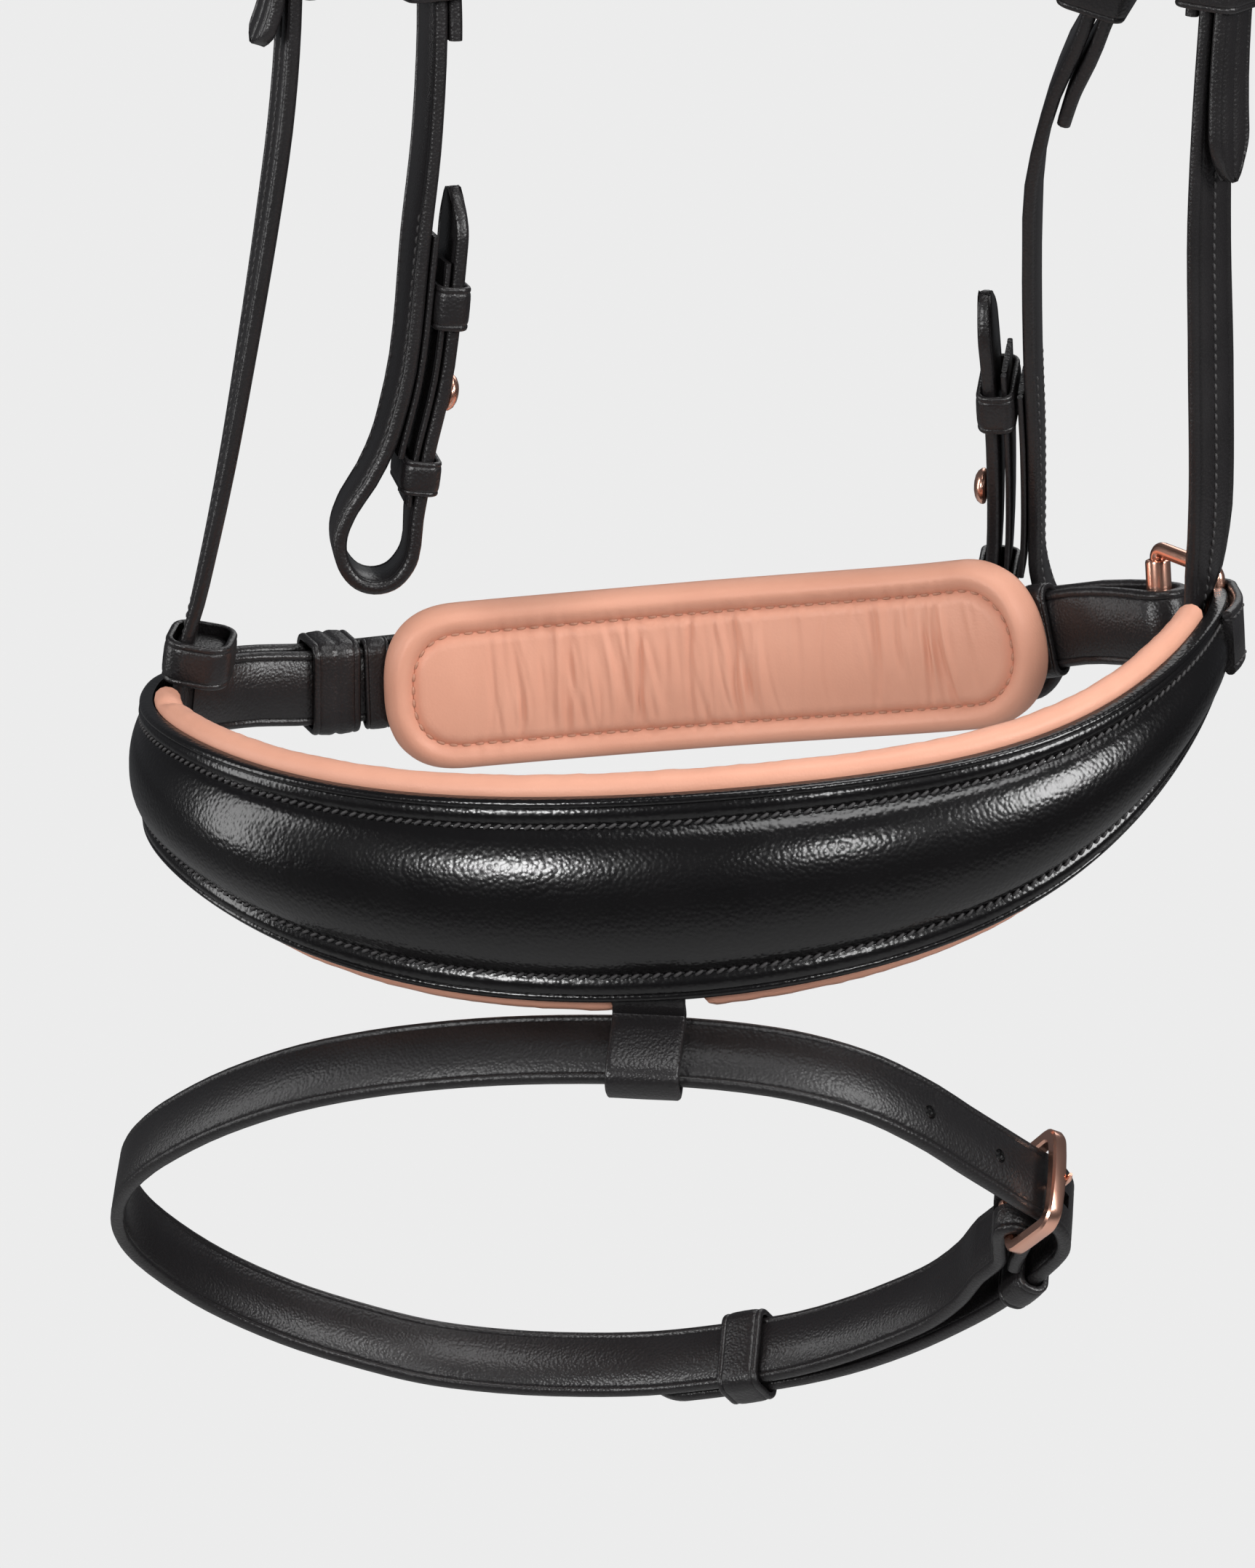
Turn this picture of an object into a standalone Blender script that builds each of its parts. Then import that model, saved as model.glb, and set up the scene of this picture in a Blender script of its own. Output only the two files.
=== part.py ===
"""A leather bridle with a padded crank noseband, a flash strap and a padded chin strap.

The bridle is modelled as it hangs from its poll. +X is the horse's left, +Y is towards the chin,
-Y is towards the front of the nose, and +Z is up. The origin is the middle of the crown padding's
underside, where the bridle rests on the poll. Sizes below are in millimetres.
"""
import math

import bmesh
import bpy
import numpy as np
from mathutils import Vector

MM = 0.001
GAP = 0.3

# Crown
CROWN_HALF_WIDTH = 88.0
CROWN_RISE = 100.0
CROWN_END_Z = -144.0
CROWN_PAD_END_Z = -104.0
CROWN_WIDTH = 50.0
CROWN_EAR_WIDTH = 40.0
CROWN_THICKNESS = 4.0
CROWN_PAD_THICKNESS = 9.0

# Straps
STRAP_THICKNESS = 3.0
HANGER_WIDTH = 12.5
CHEEK_WIDTH = 16.0
CHIN_WIDTH = 18.0
FLASH_WIDTH = 16.6
THROAT_WIDTH = 12.5
KEEPER_THICKNESS = 1.5

# Noseband
NOSE_X = -14.3
NOSE_Y = 6.0
NOSE_HALF_WIDTH = (130.2, 116.7)
NOSE_FRONT_DEPTH = 94.8
NOSE_BACK_DEPTH = 54.0
NOSE_TOP_Z = -430.4
NOSE_TILT = math.radians(5.5)
NOSE_TWIST = -8.0
NOSE_END_ANGLE = (-104.0, 96.0)
NOSE_HEIGHT = 45.6
NOSE_END_HEIGHT = (27.7, 11.2)
NOSE_END_RISE = (-4.2, 19.5)
NOSE_LEATHER = 3.0
NOSE_DOME = 6.0
LINING_END_ANGLE = (-82.0, 81.0)
LINING_ROLL = 3.5
LINING_THICKNESS = 9.4
SANDWICH = 2.9

# Buckles: bar radius, heel to tip distance, tongue radius
BAR = 1.4
BUCKLE_LENGTH = 17.0
TONGUE = 1.1
BUCKLE_Z = -250.0

# Chin pad
PAD_LENGTH = 166.5
PAD_HEIGHT = 40.0
PAD_THICKNESS = 11.0
PAD_SEAM = 8.5
PAD_X = -17.0

# Chin strap: its line from the noseband's left end to the roller, and the rise of its second layer
CHIN_LINE = [(-132.6, 20.0, -443.2), (-129.8, 25.0, -444.2), (-124.0, 31.0, -445.0), (-112.0, 38.6, -446.4),
             (-96.5, 46.0, -446.4), (-68.0, 54.7, -445.0), (-19.6, 60.0, -440.5), (36.0, 54.7, -433.0),
             (59.0, 46.6, -428.0), (69.5, 40.2, -424.6), (77.9, 34.0, -422.8), (83.3, 29.4, -422.0)]
ROLLER_RADIUS = 2.9
ROLLER_HEIGHT = 23.0
CHIN_LAYER = 6.0

# Flash strap
FLASH_PITCH = math.radians(50.0)
FLASH_THICKNESS = 3.2
TAB_WIDTH = 16.0
TAB_X = -15.5
TAB_HINGE = (TAB_X, -84.0, -476.0)
FLASH_ORIGIN = (TAB_X, -85.2, -488.2)
FLASH_HEEL = (77.0, 64.5)
FLASH_TIP = (86.5, 49.2)
FLASH_FOLD = (0.15, -0.99)

# Hinge lines of the straps that hang from the crown, as Y and Z
HANGER_HINGE = (-16.5, -138.0)
CHEEK_HINGE = (0.0, -138.0)
THROAT_HINGE = (19.0, -138.0)

BLACK = (0.012, 0.011, 0.012, 1.0)
EDGE_BLACK = (0.02, 0.018, 0.018, 1.0)
ROSE = (0.62, 0.31, 0.23, 1.0)
METAL = (0.80, 0.42, 0.30, 1.0)


def clear_scene():
    """Take every object out of the scene."""
    for thing in list(bpy.data.objects):
        bpy.data.objects.remove(thing, do_unlink=True)


def finish_material(name, colour, roughness, metallic):
    """Give a new Principled material of this colour and finish."""
    material = bpy.data.materials.new(name)
    material.use_nodes = True
    shader = material.node_tree.nodes["Principled BSDF"]
    shader.inputs["Base Color"].default_value = colour
    shader.inputs["Roughness"].default_value = roughness
    shader.inputs["Metallic"].default_value = metallic
    return material


def node(name, verts, faces, kind):
    """Make one named object from points in millimetres, with its own material."""
    looks = {
        "black": (BLACK, 0.42, 0.0),
        "edge": (EDGE_BLACK, 0.5, 0.0),
        "rose": (ROSE, 0.5, 0.0),
        "metal": (METAL, 0.2, 1.0),
    }
    mesh = bpy.data.meshes.new(name)
    mesh.from_pydata([tuple(float(c) * MM for c in v) for v in verts], [], faces)
    mesh.validate()
    build = bmesh.new()
    build.from_mesh(mesh)
    bmesh.ops.recalc_face_normals(build, faces=build.faces)
    build.to_mesh(mesh)
    build.free()
    mesh.materials.append(finish_material(name, *looks[kind]))
    mesh.shade_smooth()
    mesh.set_sharp_from_angle(angle=math.radians(35))
    thing = bpy.data.objects.new(name, mesh)
    bpy.context.collection.objects.link(thing)
    return thing


def unit(v):
    """The vector at length one."""
    v = np.asarray(v, float)
    return v / np.linalg.norm(v)


def dense(points, per_span=14):
    """Many points on a centripetal Catmull-Rom curve through the given ones."""
    p = np.asarray(points, float)
    p = np.vstack([2 * p[0] - p[1], p, 2 * p[-1] - p[-2]])
    out = []
    for a, b, c, d in zip(p[:-3], p[1:-2], p[2:-1], p[3:]):
        t0 = 0.0
        t1 = t0 + max(np.linalg.norm(b - a), 1e-6) ** 0.5
        t2 = t1 + max(np.linalg.norm(c - b), 1e-6) ** 0.5
        t3 = t2 + max(np.linalg.norm(d - c), 1e-6) ** 0.5
        for t in np.linspace(t1, t2, per_span, endpoint=False):
            ab = (t1 - t) / (t1 - t0) * a + (t - t0) / (t1 - t0) * b
            bc = (t2 - t) / (t2 - t1) * b + (t - t1) / (t2 - t1) * c
            cd = (t3 - t) / (t3 - t2) * c + (t - t2) / (t3 - t2) * d
            abc = (t2 - t) / (t2 - t0) * ab + (t - t0) / (t2 - t0) * bc
            bcd = (t3 - t) / (t3 - t1) * bc + (t - t1) / (t3 - t1) * cd
            out.append((t2 - t) / (t2 - t1) * abc + (t - t1) / (t2 - t1) * bcd)
    out.append(p[-2])
    return np.array(out)


def stations(points, most_turn=12.0, most_step=22.0):
    """The points of a dense curve at which a strap needs a section: more where it bends."""
    kept = [0]
    turned = 0.0
    length = 0.0
    for i in range(1, len(points) - 1):
        before = unit(points[i] - points[i - 1])
        after = unit(points[i + 1] - points[i])
        turned += math.degrees(math.acos(np.clip(before @ after, -1, 1)))
        length += np.linalg.norm(points[i] - points[i - 1])
        if turned > most_turn or length > most_step:
            kept.append(i)
            turned = 0.0
            length = 0.0
    kept.append(len(points) - 1)
    return points[kept]


class Route:
    """A smooth line in space with an outward side, which layers of strap follow."""

    def __init__(self, points, outward):
        self.points = dense(points, 24)
        steps = np.linalg.norm(np.diff(self.points, axis=0), axis=1)
        self.run = np.concatenate([[0], np.cumsum(steps)])
        self.length = self.run[-1]
        knots = [self.run[i * 24] for i in range(len(points))]
        self.angles = np.interp(self.run, knots, outward)

    def at(self, s):
        """Place, direction, outward side and width direction at run s."""
        inside = min(max(s, 0.0), self.length)
        place = np.array([np.interp(inside, self.run, self.points[:, k]) for k in range(3)])
        low = np.array([np.interp(max(inside - 2, 0), self.run, self.points[:, k]) for k in range(3)])
        high_run = min(inside + 2, self.length)
        high = np.array([np.interp(high_run, self.run, self.points[:, k]) for k in range(3)])
        along = unit(high - low)
        angle = math.radians(np.interp(inside, self.run, self.angles))
        hint = np.array([math.cos(angle), math.sin(angle), 0.0])
        across = unit(np.cross(along, hint))
        out = np.cross(across, along)
        return place + along * (s - inside), along, out, across

    def spot(self, s, z):
        """The point z outward of run s, and the width direction there."""
        place, along, out, across = self.at(s)
        return place + out * z, across

    def nearest(self, height):
        """The run at which the route first passes this height."""
        for s in np.arange(0.0, self.length, 0.25):
            if self.at(s)[0][2] <= height:
                return s
        return self.length


class Plane:
    """A flat sheet with its own two directions, in which a strap's edge line is drawn."""

    def __init__(self, origin, first, second):
        self.origin = np.asarray(origin, float)
        self.first = unit(first)
        self.second = unit(second)
        self.normal = np.cross(self.first, self.second)

    def spot(self, a, b):
        """The point at a, b and the width direction of a strap there."""
        return self.origin + self.first * a + self.second * b, self.normal


def pivot(name, place, axis, pieces, carrier=None):
    """An empty on a joint's axis, its own Z along that axis, that carries the pieces which move there."""
    mark = bpy.data.objects.new("pivot_" + name, None)
    mark.empty_display_size = 0.01
    mark.rotation_mode = "QUATERNION"
    mark.rotation_quaternion = Vector(axis).to_track_quat("Z", "Y")
    mark.location = [float(c) * MM for c in place]
    bpy.context.collection.objects.link(mark)
    bpy.context.view_layer.update()
    for piece in pieces:
        thing = bpy.data.objects[piece]
        thing.parent = mark
        thing.matrix_parent_inverse = mark.matrix_world.inverted()
    if carrier:
        mark.parent = bpy.data.objects["pivot_" + carrier]
        mark.matrix_parent_inverse = mark.parent.matrix_world.inverted()
    return mark


def loft(name, rings, kind, closed=False):
    """Skin rings of points into one closed solid."""
    count = len(rings[0])
    verts = [v for ring in rings for v in ring]
    faces = []
    last = len(rings) if closed else len(rings) - 1
    for i in range(last):
        here = i * count
        there = ((i + 1) % len(rings)) * count
        for k in range(count):
            m = (k + 1) % count
            faces.append((here + k, here + m, there + m, there + k))
    if not closed:
        faces.append(tuple(range(count)))
        faces.append(tuple(range((len(rings) - 1) * count, len(rings) * count)))
    return node(name, verts, faces, kind)


def bevelled(width, thickness, corner=0.6):
    """Corners of a strap's section, as (across, through) pairs."""
    w = width / 2
    t = thickness / 2
    c = min(corner, 0.4 * thickness, 0.4 * width)
    return [(w, t - c), (w - c, t), (c - w, t), (-w, t - c),
            (-w, c - t), (c - w, -t), (w - c, -t), (w, c - t)]


def tip_width(width, distance, length):
    """Width of a strap near its rounded point."""
    if distance >= length:
        return width
    return width * (0.22 + 0.78 * math.sin(0.5 * math.pi * distance / length) ** 0.8)


def ribbon(name, sheet, line, width, thickness, kind="black", start_tip=0.0, end_tip=0.0):
    """A strap whose edge line is drawn in a sheet: a route's (run, outward) pairs or a plane's."""
    flat = stations(dense(line, 12))
    places = np.array([sheet.spot(a, b)[0] for a, b in flat])
    acrosses = [sheet.spot(a, b)[1] for a, b in flat]
    steps = np.linalg.norm(np.diff(places, axis=0), axis=1)
    run = np.concatenate([[0], np.cumsum(steps)])
    rings = []
    for i, place in enumerate(places):
        along = unit(places[min(i + 1, len(places) - 1)] - places[max(i - 1, 0)])
        across = unit(acrosses[i] - along * (along @ acrosses[i]))
        out = np.cross(across, along)
        local = width
        if start_tip:
            local = min(local, tip_width(width, run[i], start_tip))
        if end_tip:
            local = min(local, tip_width(width, run[-1] - run[i], end_tip))
        rings.append([place + across * x + out * z for x, z in bevelled(local, thickness)])
    return loft(name, rings, kind)


def cut(target, cutters):
    """Take closed cutter bodies out of a solid."""
    for cutter in cutters:
        cutter.hide_render = True
        cutter.hide_viewport = False
        cutter.display_type = "WIRE"
        hole = target.modifiers.new("cut_" + cutter.name, "BOOLEAN")
        hole.operation = "DIFFERENCE"
        hole.solver = "EXACT"
        hole.object = cutter


def block(name, origin, axes, low, high):
    """A box cutter between two corners of a local frame."""
    corners = []
    for x in (low[0], high[0]):
        for y in (low[1], high[1]):
            for z in (low[2], high[2]):
                corners.append(origin + axes[0] * x + axes[1] * y + axes[2] * z)
    faces = [(0, 1, 3, 2), (4, 6, 7, 5), (0, 4, 5, 1), (2, 3, 7, 6), (0, 2, 6, 4), (1, 5, 7, 3)]
    return node(name, corners, faces, "edge")


def punch(name, sheet, a, b, radius):
    """A round punch through a strap at a, b of its sheet."""
    here, across = sheet.spot(a, b)
    there = sheet.spot(a + 1.0, b)[0]
    along = unit(there - here)
    out = unit(np.cross(across, along))
    rings = []
    for z in (-5.0, 5.0):
        ring = []
        for k in range(8):
            turn = 2 * math.pi * k / 8
            ring.append(here + along * radius * math.cos(turn) + across * radius * math.sin(turn) + out * z)
        rings.append(ring)
    return loft(name, rings, "edge")


def rounded_rectangle(half_x, half_y, radius, per_corner=3):
    """Points round a rectangle with rounded corners."""
    points = []
    for index, (sx, sy) in enumerate(((1, 1), (-1, 1), (-1, -1), (1, -1))):
        for k in range(per_corner):
            turn = math.pi / 2 * (index + k / (per_corner - 1))
            points.append((sx * (half_x - radius) + radius * math.cos(turn),
                           sy * (half_y - radius) + radius * math.sin(turn)))
    return points


def wire_ring(name, origin, axes, path, radius, kind, sides=6):
    """A closed bar of round section bent along a path in the first two axes."""
    rings = []
    count = len(path)
    for i in range(count):
        here = np.array(path[i])
        before = unit(here - np.array(path[i - 1]))
        after = unit(np.array(path[(i + 1) % count]) - here)
        along = unit(before + after)
        side = np.array([along[1], -along[0]])
        ring = []
        for k in range(sides):
            turn = 2 * math.pi * (k + 0.5) / sides
            flat = here + side * radius * math.cos(turn)
            ring.append(origin + axes[0] * flat[0] + axes[1] * flat[1] + axes[2] * radius * math.sin(turn))
        rings.append(ring)
    return loft(name, rings, kind, closed=True)


def wire(name, origin, axes, path, radii, kind, sides=6):
    """An open bar of round section along a path in the second and third axes."""
    rings = []
    count = len(path)
    for i in range(count):
        here = np.array(path[i])
        along = unit(np.array(path[min(i + 1, count - 1)]) - np.array(path[max(i - 1, 0)]))
        side = np.array([along[1], -along[0]])
        ring = []
        for k in range(sides):
            turn = 2 * math.pi * (k + 0.5) / sides
            flat = here + side * radii[i] * math.cos(turn)
            ring.append(origin + axes[1] * flat[0] + axes[2] * flat[1] + axes[0] * radii[i] * math.sin(turn))
        rings.append(ring)
    return loft(name, rings, kind)


def band(name, origin, axes, half_x, half_z, height, thickness, kind="edge", radius=None):
    """A leather keeper: a band bent round the first and third axes, of some height along the second."""
    corner = radius or min(1.6, half_z)
    outline = rounded_rectangle(half_x + thickness / 2, half_z + thickness / 2, corner + thickness / 2)
    count = len(outline)
    rings = []
    for i in range(count):
        here = np.array(outline[i])
        before = unit(here - np.array(outline[i - 1]))
        after = unit(np.array(outline[(i + 1) % count]) - here)
        along = unit(before + after)
        side = np.array([along[1], -along[0]])
        ring = []
        for y, t in ((-0.5, -0.5), (0.5, -0.5), (0.5, 0.2), (0.32, 0.5), (-0.32, 0.5), (-0.5, 0.2)):
            flat = here + side * t * thickness
            ring.append(origin + axes[0] * flat[0] + axes[1] * y * height + axes[2] * flat[1])
        rings.append(ring)
    return loft(name, rings, kind, closed=True)


def buckle(prefix, origin, axes, strap_width, length=BUCKLE_LENGTH):
    """A frame and tongue: heel bar at the origin, tip bar along the second axis, third axis outward."""
    half = strap_width / 2 + 1.0 + BAR
    path = [(x, y + length / 2) for x, y in rounded_rectangle(half, length / 2, 2.2)]
    wire_ring(prefix + "_frame", origin, axes, path, BAR, "metal")
    reach = BAR + GAP + TONGUE
    points = []
    for k in range(6):
        turn = math.radians(285 - 37 * k)
        points.append((reach * math.cos(turn), reach * math.sin(turn)))
    rest = BAR + TONGUE + 0.25
    points += [(4.0, 2.6), (length * 0.6, rest * 0.95), (length, rest + 0.1), (length + 2.2, rest - 0.4)]
    radii = [TONGUE] * 8 + [TONGUE * 0.9, TONGUE * 0.7]
    wire(prefix + "_tongue", origin, axes, points, radii, "metal")
    pivot(prefix + "_tongue", origin, np.cross(axes[1], axes[2]), [prefix + "_tongue"])


def tongue_room(name, origin, axes, length=BUCKLE_LENGTH):
    """The wedge that a tongue sweeps, cut out of the strap end that it goes through."""
    side = TONGUE + 0.55
    low = [(1.5, -2.2), (length + 4.0, 0.2)]
    high = [(1.5, 4.6), (length + 4.0, 9.5)]
    corners = []
    for x in (-side, side):
        for y, z in (low[0], low[1], high[1], high[0]):
            corners.append(origin + axes[0] * x + axes[1] * y + axes[2] * z)
    faces = [(0, 1, 2, 3), (4, 7, 6, 5), (0, 4, 5, 1), (1, 5, 6, 2), (2, 6, 7, 3), (3, 7, 4, 0)]
    return node(name, corners, faces, "edge")


def heel_room(name, origin, axes):
    """The slot in a folded strap end that the foot of the tongue turns in."""
    side = TONGUE + 0.55
    return block(name, origin, axes, (-side, -4.6, -5.2), (side, 7.5, 5.2))


def fold(heel, start, direction, legs=(24.0, 0.0)):
    """Edge line of a strap end folded round a heel bar: in on the outer leg, back on the inner one.

    Direction is +1 where the tip bar lies towards smaller runs.
    """
    s0, z0 = heel
    r = BAR + GAP + STRAP_THICKNESS / 2
    line = [(s0 + direction * 13.0, z0 + 1.7), (s0 + direction * 6.5, z0 + 2.3)]
    for k in range(7):
        turn = math.radians(95 - 31.7 * k)
        line.append((s0 - direction * r * math.cos(turn), z0 + r * math.sin(turn)))
    line += [(s0 + direction * 6.5, z0 - 2.3), (s0 + direction * 13.0, z0 - 1.7),
             (s0 + direction * legs[0], z0 - 1.7)]
    return list(start) + line


def weave(heel, direction, far, tail, tail_z):
    """Edge line of the strap end that a buckle holds: under the tip bar and over the heel bar."""
    s0, z0 = heel
    line = list(far)
    for y, z in ((26.0, -4.1), (17.5, -3.9), (12.5, -1.2), (6.5, 3.4), (0.5, 6.5), (-6.5, 6.2), (-13.0, 5.6)):
        line.append((s0 - direction * y, z0 + z))
    line += [(s, tail_z) for s in tail]
    return line


def route_axes(route, s, z):
    """A buckle's local frame on a route: across, towards the crown, outward."""
    place, along, out, across = route.at(s)
    return place + out * z, (across, -along, out)


def nose_point(angle, inward=0.0):
    """Plan point of the noseband's outer flange at an angle from its front, and the outward side."""
    a = NOSE_HALF_WIDTH[int(angle > 0)] - inward
    b = (NOSE_FRONT_DEPTH if abs(angle) <= 90 else NOSE_BACK_DEPTH) - inward
    t = math.radians(angle)
    place = np.array([NOSE_X + a * math.sin(t), NOSE_Y - b * math.cos(t), 0.0])
    out = unit([b * math.sin(t), -a * math.cos(t), 0.0])
    return place, out


def nose_height(angle):
    """Height of the black noseband leather at an angle from its front."""
    end = NOSE_END_HEIGHT[int(angle > 0)]
    taper = 1.31 if angle > 0 else 2.07
    return end + (NOSE_HEIGHT - end) * math.cos(math.radians(0.9 * min(abs(angle), 99))) ** taper


def nose_top(angle):
    """Height of the leather's top edge, which tilts with the noseband and curves up at its ends."""
    turn = math.radians(min(abs(angle), 90))
    across = nose_point(math.copysign(min(abs(angle), 90), angle))[0][0] - NOSE_X
    rise = NOSE_END_RISE[int(angle > 0)] * math.sin(turn) ** (5.2 if angle > 0 else 10)
    return NOSE_TOP_Z + math.tan(NOSE_TILT) * across + NOSE_TWIST * (across / 120.0) ** 3 + rise


def nose_frame(angle):
    """Middle of the noseband's inner face, with its up and outward directions."""
    place, out = nose_point(angle, NOSE_LEATHER)
    up = np.array([-math.sin(NOSE_TILT), 0.0, math.cos(NOSE_TILT)])
    up = unit(up - out * (up @ out))
    place[2] = nose_top(angle) - nose_height(angle) / 2
    return place, up, out


def nose_section(angle):
    """Section of the black leather: flat flanges, a stitched channel and a domed middle."""
    h = nose_height(angle) / 2
    fade = math.cos(math.radians(0.88 * abs(angle)))
    dome = NOSE_DOME * max((fade - 0.12) / 0.88, 0.0) ** 0.6
    t = NOSE_LEATHER
    flange = 1.6 + 3.2 * fade
    half = [(h, 0.0), (h, t - 0.7), (h - 0.7, t), (h - flange, t + 0.1), (h - flange - 1.4, t - 0.4),
            (h - flange - 4.0 * fade - 1.6, t + 0.55 * dome), ((h - flange) * 0.38, t + 0.93 * dome)]
    return half + [(0.0, t + dome)] + [(-v, u) for v, u in reversed(half)]


def lining_section(angle):
    """Section of the rose lining: a roll along each edge, a sewn channel and a crowned field."""
    fade = max(math.cos(math.radians(0.95 * abs(angle))), 0.0)
    grow = LINING_ROLL * (0.35 + 0.65 * fade ** 0.5)
    h = nose_height(angle) / 2 + grow
    deep = LINING_THICKNESS * (0.55 + 0.45 * fade ** 0.5)
    r = 0.38 * deep
    near_tab = abs(nose_point(angle)[0][0] - TAB_X) < TAB_WIDTH / 2 + 3.0
    recess = SANDWICH + 1.1 if near_tab else SANDWICH
    half = [(h - 2.4 * r, -recess), (h - 1.5 * r, -0.45), (h - 0.6 * r, -0.45), (h, -0.5 * deep + 0.6),
            (h - 0.3 * r, -0.74 * deep), (h - 1.2 * r, -0.86 * deep), (h - 2.4 * r, -0.72 * deep),
            ((h - 2.4 * r) * 0.6, -0.95 * deep)]
    under = [(-v, u) for v, u in reversed(half)]
    if near_tab:
        lowest = nose_height(angle) / 2 + 0.2
        under = [(max(v, -lowest), min(u, -recess)) for v, u in under]
    return half + [(0.0, -deep)] + under


def around_nose(first, last, count, section):
    """Rings of a section carried round the noseband between two angles."""
    rings = []
    for angle in np.linspace(first, last, count):
        place, up, out = nose_frame(angle)
        rings.append([place + up * v + out * u for v, u in section(angle)])
    return rings


def crown_arch():
    """The line of the crown padding's underside from the left end over the poll to the right."""
    points = [(-CROWN_HALF_WIDTH, 0.0, CROWN_END_Z), (-CROWN_HALF_WIDTH, 0.0, -122.0)]
    for k in range(13):
        t = math.pi * k / 12
        points.append((-CROWN_HALF_WIDTH * math.cos(t), 0.0, -CROWN_RISE + CROWN_RISE * math.sin(t)))
    points += [(CROWN_HALF_WIDTH, 0.0, -122.0), (CROWN_HALF_WIDTH, 0.0, CROWN_END_Z)]
    return dense(points, 4)


def crown_layer(name, kind, low, high, widths, end_z, crown, count):
    """A layer of the crown between two heights over the poll line, cut at end_z on both sides."""
    line = crown_arch()
    keep = [i for i in range(len(line)) if line[i][2] >= end_z - 0.01]
    picks = [keep[int(round(k))] for k in np.linspace(0, len(keep) - 1, count)]
    rings = []
    for i in picks:
        along = unit(line[min(i + 1, len(line) - 1)] - line[max(i - 1, 0)])
        across = np.array([0.0, 1.0, 0.0])
        out = np.cross(across, along) * -1
        out = out if out @ (line[i] - np.array([0, 0, -CROWN_RISE - 30])) > 0 else -out
        place = line[i].copy()
        if line[i][2] < -CROWN_RISE:
            out = np.array([math.copysign(1.0, line[i][0]), 0.0, 0.0])
        lean = abs(line[i][0]) / CROWN_HALF_WIDTH
        width = np.interp(lean, (0.0, 0.75, 0.97, 1.0), widths)
        w = width / 2
        mid = (low + high) / 2
        c = min(1.2, (high - low) * 0.3)
        profile = [(w, low + c), (w, high - c), (w - c, high), (w * 0.5, high + crown), (0, high + crown * 1.2),
                   (-w * 0.5, high + crown), (c - w, high), (-w, high - c), (-w, low + c),
                   (c - w, low), (0, low), (w - c, low)]
        rings.append([place + across * x + out * z for x, z in profile])
    return loft(name, rings, kind)


def make_crown():
    """The crownpiece over its padding."""
    widths = (CROWN_WIDTH, CROWN_EAR_WIDTH, CROWN_WIDTH, CROWN_WIDTH)
    pad_widths = (CROWN_WIDTH + 6, CROWN_EAR_WIDTH + 6, CROWN_WIDTH, CROWN_WIDTH)
    low = CROWN_PAD_THICKNESS + GAP
    crown_layer("crown_padding", "black", 0.0, CROWN_PAD_THICKNESS - 1.2, pad_widths, CROWN_PAD_END_Z, 0.8, 25)
    crown_layer("crownpiece", "black", low, low + CROWN_THICKNESS, widths, CROWN_END_Z, 0.0, 31)


def make_browband():
    """The curved browband, its rose lining and the loops that slide on the crown's ends."""
    x = CROWN_HALF_WIDTH + CROWN_PAD_THICKNESS + GAP + CROWN_THICKNESS / 2
    z = -122.0
    half = CROWN_THICKNESS / 2 + 0.6
    for side, sign in (("left", -1), ("right", 1)):
        axes = (np.array([0.0, 1.0, 0.0]), np.array([0.0, 0.0, 1.0]), np.array([float(sign), 0.0, 0.0]))
        band("browband_loop_" + side, np.array([sign * x, 0.0, z]), axes,
             CROWN_WIDTH / 2 + 0.8, half, 17.0, 2.2)
    line = []
    depth = 92.0
    front = CROWN_WIDTH / 2 + 5.4
    for k in range(13):
        t = math.pi * k / 12
        dip = 4.0 * math.sin(t)
        line.append((-x * math.cos(t), -front - depth * math.sin(t) ** 0.9, z - dip))
    for name, kind, z_off, width, thick in (("browband", "black", 0.0, 15.0, 3.0),
                                            ("browband_lining", "rose", -4.0, 19.0, 4.4)):
        points = dense(line, 3)
        rings = []
        for i in range(0, len(points)):
            along = unit(points[min(i + 1, len(points) - 1)] - points[max(i - 1, 0)])
            out = unit(np.cross(np.array([0.0, 0.0, 1.0]), along)) * -1
            up = np.cross(out, along) * -1
            place = points[i] + out * z_off
            w = width / 2
            t = thick / 2
            crown = 1.2 if kind == "black" else -1.2
            section = [(w, t * 0.4), (w * 0.8, t), (0, t + max(crown, 0)), (-w * 0.8, t), (-w, t * 0.4),
                       (-w, -t * 0.4), (-w * 0.8, -t), (0, -t + min(crown, 0)), (w * 0.8, -t), (w, -t * 0.4)]
            rings.append([place + up * v + out * u for v, u in section])
        loft(name, rings, kind)


def hanger_routes():
    """The lines of the noseband's hanging straps from the crown to the noseband."""
    left = [(-103.1, -16.5, -138.0), (-103.3, -16.4, -165.0), (-103.6, -16.0, -205.0), (-104.0, -15.2, -245.0),
            (-104.2, -14.0, -275.7), (-106.6, -12.0, -299.8), (-111.0, -8.5, -324.7), (-118.0, -3.5, -359.0),
            (-124.0, 0.8, -386.0), (-130.6, 4.8, -412.0), (-134.4, 7.6, -425.0), (-136.4, 8.8, -438.0),
            (-137.9, 8.8, -453.0)]
    left_out = [180, 182, 189, 200, 207, 206, 203, 198, 194, 190, 184, 178, 177]
    right = [(103.1, -16.5, -138.0), (102.6, -16.4, -165.0), (100.4, -16.0, -205.0), (98.0, -15.2, -245.0),
             (97.0, -14.0, -271.5), (96.3, -12.0, -297.0), (96.3, -9.0, -322.0), (97.4, -4.0, -352.0),
             (98.2, 1.0, -386.0), (97.2, 4.4, -400.0), (95.8, 6.6, -410.0), (95.4, 7.6, -419.5)]
    right_out = [0, -4, -14, -24, -28, -29, -29, -29, -27, -20, -6, 2]
    return {"left": Route(left, left_out), "right": Route(right, right_out)}


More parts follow.
